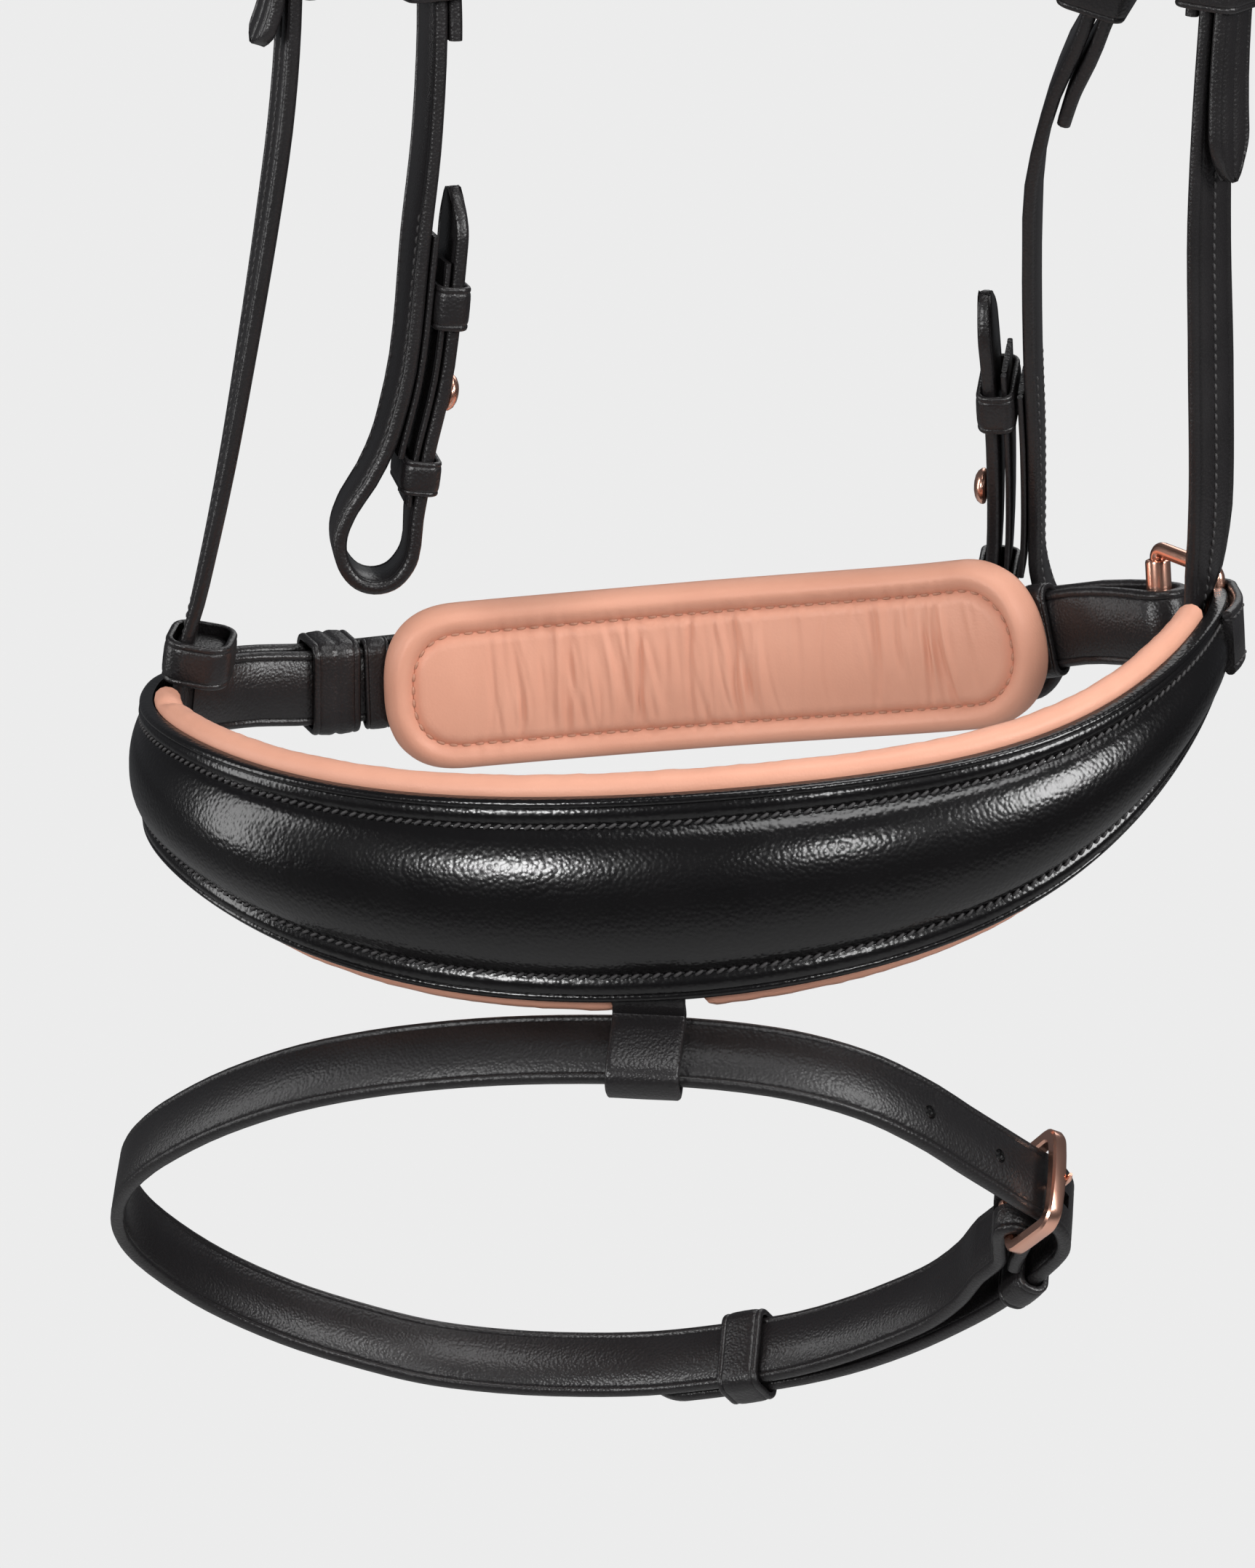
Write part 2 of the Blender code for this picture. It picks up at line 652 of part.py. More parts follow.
def cheek_routes():
    """The lines of the cheekpieces from the crown to the middle of their bit loops and past it."""
    left = [(-95.4, 0.0, -138.0), (-93.0, 0.0, -165.0), (-86.0, 0.0, -205.0), (-78.4, 0.0, -245.0),
            (-75.2, 0.0, -275.0), (-76.4, 0.0, -305.0), (-79.4, 0.0, -330.0), (-82.6, 0.0, -358.0),
            (-87.0, 0.0, -378.0), (-88.8, 0.0, -392.0), (-89.3, 0.0, -400.0), (-89.5, 0.0, -425.0)]
    left_out = [180, 184, 194, 202, 206, 206, 206, 204, 200, 197, 195, 195]
    right = [(95.4, 0.0, -138.0), (93.5, 0.4, -165.0), (87.0, 2.0, -205.0), (77.0, 4.5, -245.0),
             (69.6, 9.0, -275.6), (62.2, 18.0, -292.6), (56.2, 30.0, -315.0), (55.0, 40.0, -334.0),
             (54.8, 54.0, -362.0), (55.6, 64.0, -388.0), (55.4, 72.0, -411.0), (54.2, 75.5, -430.0),
             (53.4, 76.0, -441.0), (53.0, 76.0, -466.0)]
    right_out = [0, -3, -7, -9, -8, -7, -5, -3, -2, -1, 0, 0, 0, 0]
    return {"left": Route(left, left_out), "right": Route(right, right_out)}


def make_hangers():
    """Billets, hanging straps, buckles and keepers of the noseband."""
    tails = {"left": -285.0, "right": -309.5}
    for side, route in hanger_routes().items():
        heel = (route.nearest(BUCKLE_Z), -1.7)
        origin, axes = route_axes(route, *heel)
        tail_run = route.nearest(tails[side])
        curl = 3.0 if side == "left" else 1.4
        point = 4.0 if side == "left" else 11.0
        line = [(0.0, 0.0), (25.0, 0.0), (55.0, 0.0), (heel[0] - 38.0, -1.6)]
        line = weave(heel, 1, line, (), 0.0)
        middle = (heel[0] + 13.0 + tail_run) / 2
        line += [(middle, 3.8), (tail_run, 3.9 + curl)]
        billet = ribbon("noseband_billet_" + side, route, line, HANGER_WIDTH, STRAP_THICKNESS, end_tip=point)
        cut(billet, [tongue_room("room_nose_" + side, origin, axes)])
        start = [(route.length, 0.0), (route.length - 30.0, 0.0), (route.length - 60.0, 0.0),
                 (heel[0] + 60.0, 0.0), (heel[0] + 30.0, 0.0)]
        strap = ribbon("noseband_hanger_" + side, route, fold(heel, start, 1), HANGER_WIDTH, STRAP_THICKNESS)
        cut(strap, [heel_room("heel_nose_" + side, origin, axes)])
        buckle("hanger_buckle_" + side, origin, axes, HANGER_WIDTH)
        place, keeper_axes = route_axes(route, heel[0] + 17.0, 0.2)
        band("hanger_keeper_" + side, place, keeper_axes, HANGER_WIDTH / 2 + 0.7, 6.0, 10.0, KEEPER_THICKNESS)


def make_cheeks():
    """Billets, cheekpieces with their bit loops, hook studs, buckles and keepers."""
    loops = {"left": -400.0, "right": -441.0}
    tails = {"left": -276.0, "right": -303.0}
    legs = {"left": 35.0, "right": 20.0}
    stack = {"left": (-6.0, -8.7), "right": (-6.2, -9.7)}
    slide = {"left": (-57.0, -37.0, -81.0), "right": (-69.0, -42.8, -97.0)}
    lean = {"left": (1.4, 0.2), "right": (-1.2, -0.7)}
    for side, route in cheek_routes().items():
        heel = (route.nearest(BUCKLE_Z), -1.7)
        origin, axes = route_axes(route, *heel)
        tail_run = route.nearest(tails[side])
        line = weave(heel, 1, [(0.0, 0.0), (25.0, 0.0), (55.0, 0.0), (heel[0] - 38.0, -1.6)], (), 0.0)
        middle = (heel[0] + 13.0 + tail_run) / 2
        line += [(middle, 3.9), (tail_run, 3.9)]
        billet = ribbon("cheek_billet_" + side, route, line, CHEEK_WIDTH, STRAP_THICKNESS, end_tip=5.0)
        cut(billet, [tongue_room("room_cheek_" + side, origin, axes)])

        loop = route.nearest(loops[side])
        upper, button, tip = slide[side]
        stud = loop + button
        inner, outer = stack[side]
        body = [(tip, outer + lean[side][0]), (tip + 8.0, outer + lean[side][1]), (upper - 8.0, outer - 0.1),
                (upper + 4.0, outer),
                (button, outer), (-24.0, outer), (-14.0, outer), (-8.0, -8.3), (-2.0, -8.3), (3.5, -7.2),
                (7.8, -3.8), (9.0, 0.3), (7.8, 4.4), (3.8, 7.6), (-2.0, 8.6), (-8.0, 7.0), (-16.0, 3.0),
                (-24.0, 0.6), (-34.0, 0.0)]
        start = [(loop + a, b) for a, b in body]
        start += [((loop - 34.0 + heel[0] + 38.0) / 2, 0.0), (heel[0] + 38.0, 0.0)]
        strap = ribbon("cheek_strap_" + side, route, fold(heel, start, 1, (legs[side], 0.0)),
                       CHEEK_WIDTH, STRAP_THICKNESS, start_tip=11.0)
        cut(strap, [heel_room("heel_cheek_" + side, origin, axes), stud_punch(route, stud, side, outer)])
        buckle("cheek_buckle_" + side, origin, axes, CHEEK_WIDTH)
        place, keeper_axes = route_axes(route, heel[0] + 21.0, 0.1)
        band("cheek_keeper_" + side, place, keeper_axes, CHEEK_WIDTH / 2 + 1.7, 6.3, 10.0, KEEPER_THICKNESS)
        ribbon("cheek_lining_" + side, route, [(loop - 73.0, -2.6), (loop - 45.0, -2.6), (loop - 22.0, -2.6)],
               CHEEK_WIDTH, 1.3)
        safe = [(loop + upper - 10.0, inner), (loop + upper, inner), (stud, inner), (loop - 18.0, inner),
                (loop - 10.5, inner)]
        ribbon("cheek_safe_" + side, route, safe, CHEEK_WIDTH, 1.2)
        half = (inner - outer) / 2 + 1.05 + 0.45
        centre = (inner + outer - 0.9) / 2
        for label, offset, height, play in (("upper", upper, 10.0, 0.0), ("lower", -18.0, 8.0, 0.35)):
            place, keeper_axes = route_axes(route, loop + offset, centre)
            band("cheek_%s_keeper_%s" % (label, side), place, keeper_axes,
                 CHEEK_WIDTH / 2 + 0.7, half + play, height, 1.2)
        hook_stud("hook_stud_" + side, route, stud, inner - 1.1, outer)


def stud_punch(route, stud, side, middle):
    """The hole in the cheekpiece's turned-up end, clear of the strap's outer run."""
    place, along, out, across = route.at(stud)
    rings = []
    for z in (middle - 3.0, middle + 2.0):
        ring = []
        for k in range(8):
            turn = 2 * math.pi * k / 8
            ring.append(place + along * 2.4 * math.cos(turn) + across * 2.4 * math.sin(turn) + out * z)
        rings.append(ring)
    return loft("stud_hole_" + side, rings, "edge")


def hook_stud(name, route, stud, foot, strap):
    """A turned stud: a neck that stands on the safe and goes through the strap, and a domed head."""
    place, along, out, across = route.at(stud)
    under = strap - STRAP_THICKNESS / 2 - 0.3
    profile = [(0.0, foot), (1.9, foot), (1.7, under + 0.1), (3.4, under), (4.2, under - 0.6), (3.9, under - 1.5),
               (2.4, under - 2.5), (0.0, under - 2.9)]
    count = 10
    verts = [place + out * profile[0][1]]
    for r, z in profile[1:-1]:
        for k in range(count):
            turn = 2 * math.pi * k / count
            verts.append(place + out * z + along * r * math.cos(turn) + across * r * math.sin(turn))
    verts.append(place + out * profile[-1][1])
    faces = []
    for k in range(count):
        faces.append((0, 1 + k, 1 + (k + 1) % count))
    for j in range(len(profile) - 3):
        for k in range(count):
            m = (k + 1) % count
            faces.append((1 + j * count + k, 1 + (j + 1) * count + k, 1 + (j + 1) * count + m, 1 + j * count + m))
    last = len(verts) - 1
    base = 1 + (len(profile) - 3) * count
    for k in range(count):
        faces.append((last, base + (k + 1) % count, base + k))
    return node(name, verts, faces, "metal")


def make_throatlash():
    """The throatlash, sewn to the crown's right end and buckled to a billet on its left end."""
    line = [(-91.6, 19.0, -138.0), (-91.0, 19.0, -160.0), (-87.0, 19.5, -185.0), (-78.0, 20.5, -212.0),
            (-60.0, 21.5, -238.0), (-32.0, 22.5, -255.0), (0.0, 23.0, -260.0), (32.0, 22.5, -255.0),
            (60.0, 21.5, -238.0), (78.0, 20.5, -212.0), (87.0, 19.5, -185.0), (91.0, 19.0, -160.0),
            (91.6, 19.0, -138.0)]
    route = Loop(line)
    heel = (46.0, -1.7)
    origin, axes = route_axes(route, *heel)
    line = [(0.0, 0.0), (12.0, -0.8)]
    for y, z in ((22.0, -3.6), (17.5, -3.9), (12.5, -1.2), (6.5, 3.4), (0.5, 6.5), (-6.5, 6.2), (-13.0, 5.6),
                 (-24.0, 3.9), (-34.0, 3.9), (-44.0, 4.0)):
        line.append((heel[0] - y, heel[1] + z if y > -14 else z))
    billet = ribbon("throatlash_billet", route, line, THROAT_WIDTH, STRAP_THICKNESS, end_tip=11.0)
    cut(billet, [tongue_room("room_throat", origin, axes)])
    end = route.length
    start = [(end, 0.0), (end - 30, 0.0), (end * 0.75, 0.0), (end * 0.5, 0.0), (heel[0] + 60, 0.0),
             (heel[0] + 30, 0.0)]
    strap = ribbon("throatlash_strap", route, fold(heel, start, 1), THROAT_WIDTH, STRAP_THICKNESS)
    cut(strap, [heel_room("heel_throat", origin, axes)])
    buckle("throat_buckle", origin, axes, THROAT_WIDTH)


class Loop(Route):
    """A route in an upright plane across the bridle, whose width runs fore and aft."""

    def __init__(self, points):
        super().__init__(points, [0.0] * len(points))
        self.middle = np.array([0.0, 0.0, -150.0])

    def at(self, s):
        inside = min(max(s, 0.0), self.length)
        place = np.array([np.interp(inside, self.run, self.points[:, k]) for k in range(3)])
        low = np.array([np.interp(max(inside - 2, 0), self.run, self.points[:, k]) for k in range(3)])
        high_run = min(inside + 2, self.length)
        high = np.array([np.interp(high_run, self.run, self.points[:, k]) for k in range(3)])
        along = unit(high - low)
        across = np.array([0.0, 1.0, 0.0])
        across = unit(across - along * (across @ along))
        out = np.cross(across, along)
        if out @ (place - self.middle) < 0:
            across = -across
            out = -out
        return place + along * (s - inside), along, out, across


class Chin(Route):
    """The chin strap's line from the noseband's left end to the roller, outward away from the chin."""

    def at(self, s):
        inside = min(max(s, 0.0), self.length)
        place = np.array([np.interp(inside, self.run, self.points[:, k]) for k in range(3)])
        low = np.array([np.interp(max(inside - 2, 0), self.run, self.points[:, k]) for k in range(3)])
        high_run = min(inside + 2, self.length)
        high = np.array([np.interp(high_run, self.run, self.points[:, k]) for k in range(3)])
        along = unit(high - low)
        out = unit(np.cross(np.array([0.0, 0.0, 1.0]), along))
        across = unit(np.cross(along, out))
        return place + along * (s - inside), along, out, across


def make_chin():
    """Chin strap, its buckle, keepers, the roller loop and the sliding pad."""
    route = Chin(CHIN_LINE, [0.0] * len(CHIN_LINE))
    end = route.length
    turn_radius = 5.3
    centre = (end, turn_radius)
    line = [(0.0, 0.0), (20.0, 0.0), (60.0, 0.0), (100.0, 0.0), (150.0, 0.0), (190.0, 0.0), (end - 30, 0.0),
            (end - 12.0, 0.0), (end - 4.0, 0.0)]
    for k in range(7):
        turn = math.radians(-80 + 26.7 * k)
        line.append((centre[0] + turn_radius * math.cos(turn), centre[1] + turn_radius * math.sin(turn)))
    heel = (92.0, CHIN_LAYER + 1.7)
    line += [(end - 4.0, 2 * turn_radius), (end - 14.0, 9.0), (end - 28.0, 7.4), (end - 60.0, CHIN_LAYER + 0.3),
             (170.0, CHIN_LAYER + 0.2), (140.0, CHIN_LAYER + 0.2), (heel[0] + 27.0, CHIN_LAYER - 0.4)]
    for y, z in ((17.5, -3.5), (12.5, -1.2), (6.5, 3.4), (0.5, 6.4), (-6.5, 5.9), (-13.0, 5.2)):
        line.append((heel[0] + y, heel[1] + z))
    line += [(heel[0] - 22.0, CHIN_LAYER + 7.0), (heel[0] - 36.0, CHIN_LAYER + 7.0)]
    origin, (across, back, out) = route_axes(route, *heel)
    axes = (-across, -back, out)
    strap = ribbon("chin_strap", route, line, CHIN_WIDTH, STRAP_THICKNESS, end_tip=13.0)
    far_room = block("chin_far_room", origin, axes, (-1.65, 1.5, -3.0), (1.65, 21.0, 8.5))
    cut(strap, [far_room])
    outer = [(3.0, CHIN_LAYER - 2.2), (10.0, CHIN_LAYER), (36.0, CHIN_LAYER + 1.3), (heel[0] - 26.0, CHIN_LAYER + 3.4)]
    outer = fold((heel[0], heel[1]), outer, -1, (22.0, 0.0))
    buckle_strap = ribbon("chin_buckle_strap", route, outer, CHIN_WIDTH, STRAP_THICKNESS)
    cut(buckle_strap, [heel_room("heel_chin", origin, axes)])
    buckle("chin_buckle", origin, axes, CHIN_WIDTH)
    make_roller(route, centre)
    make_chin_keepers(route, heel)
    make_pad(route)


def make_roller(route, centre):
    """The rectangular loop, its roller and the chape that holds it on the noseband's right end."""
    place, along, out, across = route.at(centre[0])
    hub = place + out * centre[1]
    up = across if across[2] > 0 else -across
    far = np.array([100.9, 17.0, hub[2]])
    reach = far - hub
    reach = unit(reach - up * (reach @ up))
    side = np.cross(reach, up)
    length = float((far - hub) @ reach)
    hub = hub + up * 2.2
    bar = 1.45
    half = ROLLER_HEIGHT / 2 + 0.9 + bar
    path = [(x + length / 2, y) for x, y in rounded_rectangle(length / 2, half, 2.4)]
    wire_ring("roller_frame", hub, (reach, up, side), path, bar, "metal")
    rings = []
    count = 12
    for radius, y in ((bar + 0.3, -0.5), (ROLLER_RADIUS - 0.3, -0.5), (ROLLER_RADIUS, -0.47),
                      (ROLLER_RADIUS, 0.47), (ROLLER_RADIUS - 0.3, 0.5), (bar + 0.3, 0.5)):
        ring = []
        for k in range(count):
            turn = 2 * math.pi * k / count
            ring.append(hub + reach * radius * math.cos(turn) + side * radius * math.sin(turn)
                        + up * y * ROLLER_HEIGHT)
        rings.append(ring)
    loft("roller", rings, "metal", closed=True)
    pivot("roller", hub, up, ["roller"])
    bar_end = hub + reach * length
    turn_radius = bar + 0.35 + 1.1
    flat = [nose_point(angle, -reach_out)[0][:2] for angle, reach_out in ((80.0, 4.6), (85.0, 4.0), (91.0, 3.0))]
    for k in range(7):
        turn = math.radians(-5 + 35 * k)
        flat.append(bar_end[:2] + turn_radius * np.array([math.cos(turn), math.sin(turn)]))
    chape = Upright(bar_end[2] - 1.2, up)
    ribbon("roller_chape", chape, flat, 15.0, 2.2)


class Upright:
    """A sheet seen in plan: its pairs are x and y, and the strap stands on edge."""

    def __init__(self, height, up):
        self.height = height
        self.up = up

    def spot(self, x, y):
        """The point at x, y and the width direction there."""
        return np.array([x, y, self.height]), self.up


def make_chin_keepers(route, heel):
    """The ring at the noseband's left end and the keepers round the chin strap's layers."""
    keeper_run = 0.0
    while route.at(keeper_run)[0][0] < -108.0:
        keeper_run += 0.5
    place, axes = route_axes(route, keeper_run, CHIN_LAYER / 2 + 1.0)
    band("chin_keeper", place, axes, CHIN_WIDTH / 2 + 0.8, CHIN_LAYER / 2 + 3.3, 11.5, KEEPER_THICKNESS)
    hanger = hanger_routes()["left"]
    run = hanger.nearest(-430.2)
    place, along, out, across = hanger.at(run)
    upright = (across, along, out)
    band("left_ring", place - out * 2.9, upright, HANGER_WIDTH / 2 + 1.0, 6.15, 10.5, 2.0, radius=4.0)


def make_pad(route):
    """The stadium cushion on the chin strap, with a rolled border, a sewn channel and a field."""
    middle = route.length * 0.5
    for s in np.arange(0.0, route.length, 0.5):
        if route.at(s)[0][0] >= PAD_X:
            middle = s
            break
    back = -(STRAP_THICKNESS / 2 + 0.5 + 1.6 + GAP)
    levels = [(2.2, 0.0), (0.0, 0.30), (0.0, 0.62), (1.6, 0.90), (4.6, 1.0), (PAD_SEAM, 0.80),
              (PAD_SEAM + 3.4, 0.96), (PAD_HEIGHT / 2 - 0.6, 1.02)]
    straight = PAD_LENGTH / 2 - PAD_HEIGHT / 2
    rings = []
    for inset, depth in levels:
        r = PAD_HEIGHT / 2 - inset
        outline = []
        for k in range(9):
            turn = math.pi / 2 - math.pi * k / 8
            outline.append((straight + r * math.cos(turn), r * math.sin(turn)))
        outline += [(straight * f, -r) for f in (0.6, 0.2, -0.2, -0.6)]
        for k in range(9):
            turn = -math.pi / 2 - math.pi * k / 8
            outline.append((-straight + r * math.cos(turn), r * math.sin(turn)))
        outline += [(straight * f, r) for f in (-0.6, -0.2, 0.2, 0.6)]
        ring = []
        for s, v in outline:
            place, along, out, across = route.at(middle + s)
            ring.append(place + across * v + out * (back - PAD_THICKNESS * depth))
        rings.append(ring)
    loft("chin_pad", rings, "rose")
    for side, offset in (("left", -PAD_LENGTH / 2 - 0.5), ("right", PAD_LENGTH / 2 - 4.0)):
        place, axes = route_axes(route, middle + offset, 0.0)
        band("chin_pad_loop_" + side, place, axes, CHIN_WIDTH / 2 + 0.7, STRAP_THICKNESS / 2 + 0.75, 6.0, 1.3)


def make_noseband():
    """The domed noseband leather over its rose lining."""
    loft("noseband_leather", around_nose(*NOSE_END_ANGLE, 37, nose_section), "black")
    loft("noseband_lining", around_nose(*LINING_END_ANGLE, 37, lining_section), "rose")


def flash_plane():
    """The sloping plane in which the flash strap's loop lies."""
    first = (math.cos(0.02), 0.0, math.sin(0.02))
    second = (0.0, math.cos(FLASH_PITCH), -math.sin(FLASH_PITCH))
    return Plane(FLASH_ORIGIN, first, second)


def make_flash():
    """Tab, flash strap, its buckle and keepers."""
    plane = flash_plane()
    heel = np.array(FLASH_HEEL)
    fold_back = unit(FLASH_FOLD)
    fold_out = np.array([-fold_back[1], fold_back[0]])

    def local(y, z):
        return tuple(heel + fold_back * y + fold_out * z)

    r = BAR + GAP + FLASH_THICKNESS / 2
    line = [local(-15.5, 1.95), local(-12.0, 1.95), local(-6.5, 2.6)]
    for k in range(7):
        turn = math.radians(95 - 31.7 * k)
        line.append(local(r * math.cos(turn), r * math.sin(turn)))
    line += [local(-6.5, -2.6), local(-13.0, -1.85)]
    line += [(68.6, 85.0), (63.6, 96.8), (56.3, 108.0), (46.7, 117.5), (35.0, 127.2), (22.3, 135.3),
             (4.0, 142.6), (-13.0, 147.5), (-31.0, 149.4), (-48.0, 149.0), (-65.5, 145.6), (-81.6, 137.9),
             (-97.2, 127.6), (-112.0, 112.8), (-121.6, 98.0), (-126.4, 86.6), (-127.8, 77.0), (-126.4, 66.5),
             (-122.8, 57.0), (-117.0, 48.0), (-110.2, 40.3), (-97.0, 28.4), (-79.4, 16.9), (-62.3, 9.5),
             (-46.0, 4.8), (-30.0, 1.8), (-14.0, 0.3), (0.0, 0.0), (17.2, 1.4), (32.3, 5.1), (46.9, 12.9),
             (59.0, 24.5), (67.5, 35.5), (74.0, 43.6), (80.0, 51.2), (84.8, 57.0), (87.6, 63.6), (87.6, 71.0),
             (84.6, 78.4), (78.4, 88.8), (71.2, 99.4), (61.5, 110.6), (51.2, 120.9), (38.5, 131.0),
             (24.3, 139.2), (5.4, 146.6), (-6.0, 150.4), (-14.0, 153.4)]
    strap = ribbon("flash_strap", plane, line, FLASH_WIDTH, FLASH_THICKNESS, end_tip=14.0)
    origin = plane.spot(*FLASH_HEEL)[0]
    fold_axes = (plane.normal, unit(plane.spot(*local(1.0, 0.0))[0] - origin),
                 unit(plane.spot(*local(0.0, 1.0))[0] - origin))
    to_tip = unit(plane.spot(*FLASH_TIP)[0] - origin)
    axes = (plane.normal, to_tip, np.cross(plane.normal, to_tip))
    side = TONGUE + 0.55
    room = block("room_flash", origin, axes, (-side, 4.5, -2.5), (side, 15.5, 8.5))
    punches = [punch("flash_hole_1", plane, 56.0, 21.2, 2.0), punch("flash_hole_2", plane, 67.5, 35.5, 2.0)]
    cut(strap, [heel_room("heel_flash", origin, fold_axes), room] + punches)
    buckle("flash_buckle", origin, axes, FLASH_WIDTH, 18.0)
    for name, spot, towards, centre, half in (
            ("flash_fixed_keeper", (78.3, 89.0), (82.3, 82.3), 0.0, 2.4),
            ("flash_loose_keeper", (11.8, 141.9), (27.0, 135.6), 0.0, 4.3)):
        place = plane.spot(*spot)[0]
        along = unit(plane.spot(*towards)[0] - place)
        out = np.cross(along, plane.normal)
        out = out if out @ (place - plane.spot(-20.0, 75.0)[0]) > 0 else -out
        band(name, place + out * centre, (plane.normal, along, out), FLASH_WIDTH / 2 + 0.6, half, 10.5,
             KEEPER_THICKNESS)
    pivot("flash_loose_keeper", place, along, ["flash_loose_keeper"])
    make_tab(plane)


def make_tab(plane):
    """The folded tab under the noseband's front that carries the flash strap."""
    front = FLASH_THICKNESS / 2 + 0.8 + 1.0
    reach = FLASH_WIDTH / 2 + 0.7 + 1.0
    slope = np.array([math.sin(FLASH_PITCH), math.cos(FLASH_PITCH)])
    face = np.array([-math.cos(FLASH_PITCH), math.sin(FLASH_PITCH)])
    line = [(1.2, 12.9), (1.2, 10.4)]
    for a, b in ((reach - 3.0, front + 0.1), (2.0, front), (1.2 - reach, front), (-reach, 0.6), (-reach, -0.8),
                 (1.2 - reach, -front), (0.0, -front), (reach - 2.5, -front)):
        line.append(tuple(slope * a + face * b))
    sheet = Plane(plane.spot(0.0, 0.0)[0], (0.0, 1.0, 0.0), (0.0, 0.0, 1.0))
    ribbon("flash_tab", sheet, line, TAB_WIDTH, 2.0)


def join_bodies():
    """Put every hanging body on its hinge, and what moves on it under that."""
    across = (1.0, 0.0, 0.0)
    both = ("left", "right")
    pivot("browband", (0.0, 0.0, -122.0), (0.0, 0.0, 1.0),
          ["browband", "browband_lining", "browband_loop_left", "browband_loop_right"])
    pieces = ["noseband_leather", "noseband_lining", "chin_strap", "chin_buckle_strap", "chin_buckle_frame",
              "roller_frame", "roller_chape", "chin_keeper", "left_ring", "chin_pad"]
    for stem in ("noseband_billet_%s", "noseband_hanger_%s", "hanger_buckle_%s_frame", "hanger_keeper_%s",
                 "chin_pad_loop_%s"):
        pieces += [stem % side for side in both]
    pivot("noseband", (0.0,) + HANGER_HINGE, across, pieces)
    for side, x in (("left", -95.4), ("right", 95.4)):
        pieces = [stem % side for stem in (
            "cheek_billet_%s", "cheek_strap_%s", "cheek_buckle_%s_frame", "cheek_keeper_%s", "cheek_lining_%s",
            "cheek_safe_%s", "cheek_upper_keeper_%s", "cheek_lower_keeper_%s", "hook_stud_%s")]
        pivot("cheek_" + side, (x,) + CHEEK_HINGE, (0.0, 1.0, 0.0), pieces)
    pivot("throatlash", (0.0,) + THROAT_HINGE, across,
          ["throatlash_billet", "throatlash_strap", "throat_buckle_frame"])
    pivot("flash", TAB_HINGE, across, ["flash_strap", "flash_tab", "flash_buckle_frame", "flash_fixed_keeper"],
          "noseband")
    riders = [("roller", "noseband"), ("chin_buckle_tongue", "noseband"), ("throat_buckle_tongue", "throatlash"),
              ("flash_buckle_tongue", "flash"), ("flash_loose_keeper", "flash")]
    for side in both:
        riders.append(("hanger_buckle_%s_tongue" % side, "noseband"))
        riders.append(("cheek_buckle_%s_tongue" % side, "cheek_" + side))
    for rider, carrier in riders:
        mark = bpy.data.objects["pivot_" + rider]
        mark.parent = bpy.data.objects["pivot_" + carrier]
        mark.matrix_parent_inverse = mark.parent.matrix_world.inverted()


clear_scene()
make_crown()
make_browband()
make_hangers()
make_cheeks()
make_throatlash()
make_noseband()
make_chin()
make_flash()
join_bodies()
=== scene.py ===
"""A black leather bridle with rose padding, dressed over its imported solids.

Places in this script are in millimetres from the middle of the crown padding's underside, with +X
to the right of the picture, +Y away from the camera and +Z up. Each mesh is scaled to metres once.
The camera, the floor and the lamps are placed in metres.
"""

import math

import bmesh
import bpy
import numpy as np
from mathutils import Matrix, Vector, noise


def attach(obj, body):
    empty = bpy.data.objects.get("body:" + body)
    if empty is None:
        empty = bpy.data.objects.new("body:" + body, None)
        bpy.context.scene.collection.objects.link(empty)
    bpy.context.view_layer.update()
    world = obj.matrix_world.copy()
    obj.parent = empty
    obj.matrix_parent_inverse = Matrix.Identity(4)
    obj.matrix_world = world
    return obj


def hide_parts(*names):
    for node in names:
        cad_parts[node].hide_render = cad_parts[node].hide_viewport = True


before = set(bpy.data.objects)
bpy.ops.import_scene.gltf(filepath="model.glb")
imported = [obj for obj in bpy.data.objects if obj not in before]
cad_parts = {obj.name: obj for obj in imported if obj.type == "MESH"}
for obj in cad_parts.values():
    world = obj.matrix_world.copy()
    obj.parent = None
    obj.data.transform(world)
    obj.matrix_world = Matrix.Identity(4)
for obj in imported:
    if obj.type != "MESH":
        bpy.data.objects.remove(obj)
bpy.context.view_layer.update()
MM = 0.001
bpy.ops.object.select_all(action="DESELECT")

# Camera, at the photograph's viewing angle, level, looking a little down from the right.
camera_data = bpy.data.cameras.new("camera")
camera_data.sensor_width = 36.0
camera_data.lens = 126.07
camera_data.clip_end = 20.0


def add(name, data, place=(0.0, 0.0, 0.0), target=None):
    """A new object of the scene, which looks at a target if it has one."""
    thing = bpy.data.objects.new(name, data)
    bpy.context.collection.objects.link(thing)
    thing.location = place
    if target:
        thing.rotation_euler = (Vector(target) - Vector(place)).to_track_quat("-Z", "Y").to_euler()
    return thing


camera = add("camera", camera_data, (0.134678, -1.184498, -0.089260), (-0.031687, -0.000751, -0.454725))
bpy.context.scene.camera = camera
bpy.context.scene.view_settings.view_transform = "Standard"

# Room: a pale floor well below the hanging bridle and a pale surround, the same grey as the picture's
# where the camera sees them. The light that they give the bridle is their own.
ROOM_GREY = (0.84, 0.84, 0.84, 1.0)


def set_inputs(node, **values):
    """Set a shader node's inputs by their names."""
    for name, value in values.items():
        node.inputs[name.replace("_", " ")].default_value = value
    return node


def new_node(tree, kind, **values):
    """A new shader node with its inputs set."""
    return set_inputs(tree.nodes.new("ShaderNode" + kind), **values)


def join(tree, *links):
    """Link shader nodes, each link given as node, output, node, input."""
    for giver, output, taker, socket in links:
        tree.links.new(giver.outputs[output], taker.inputs[socket])


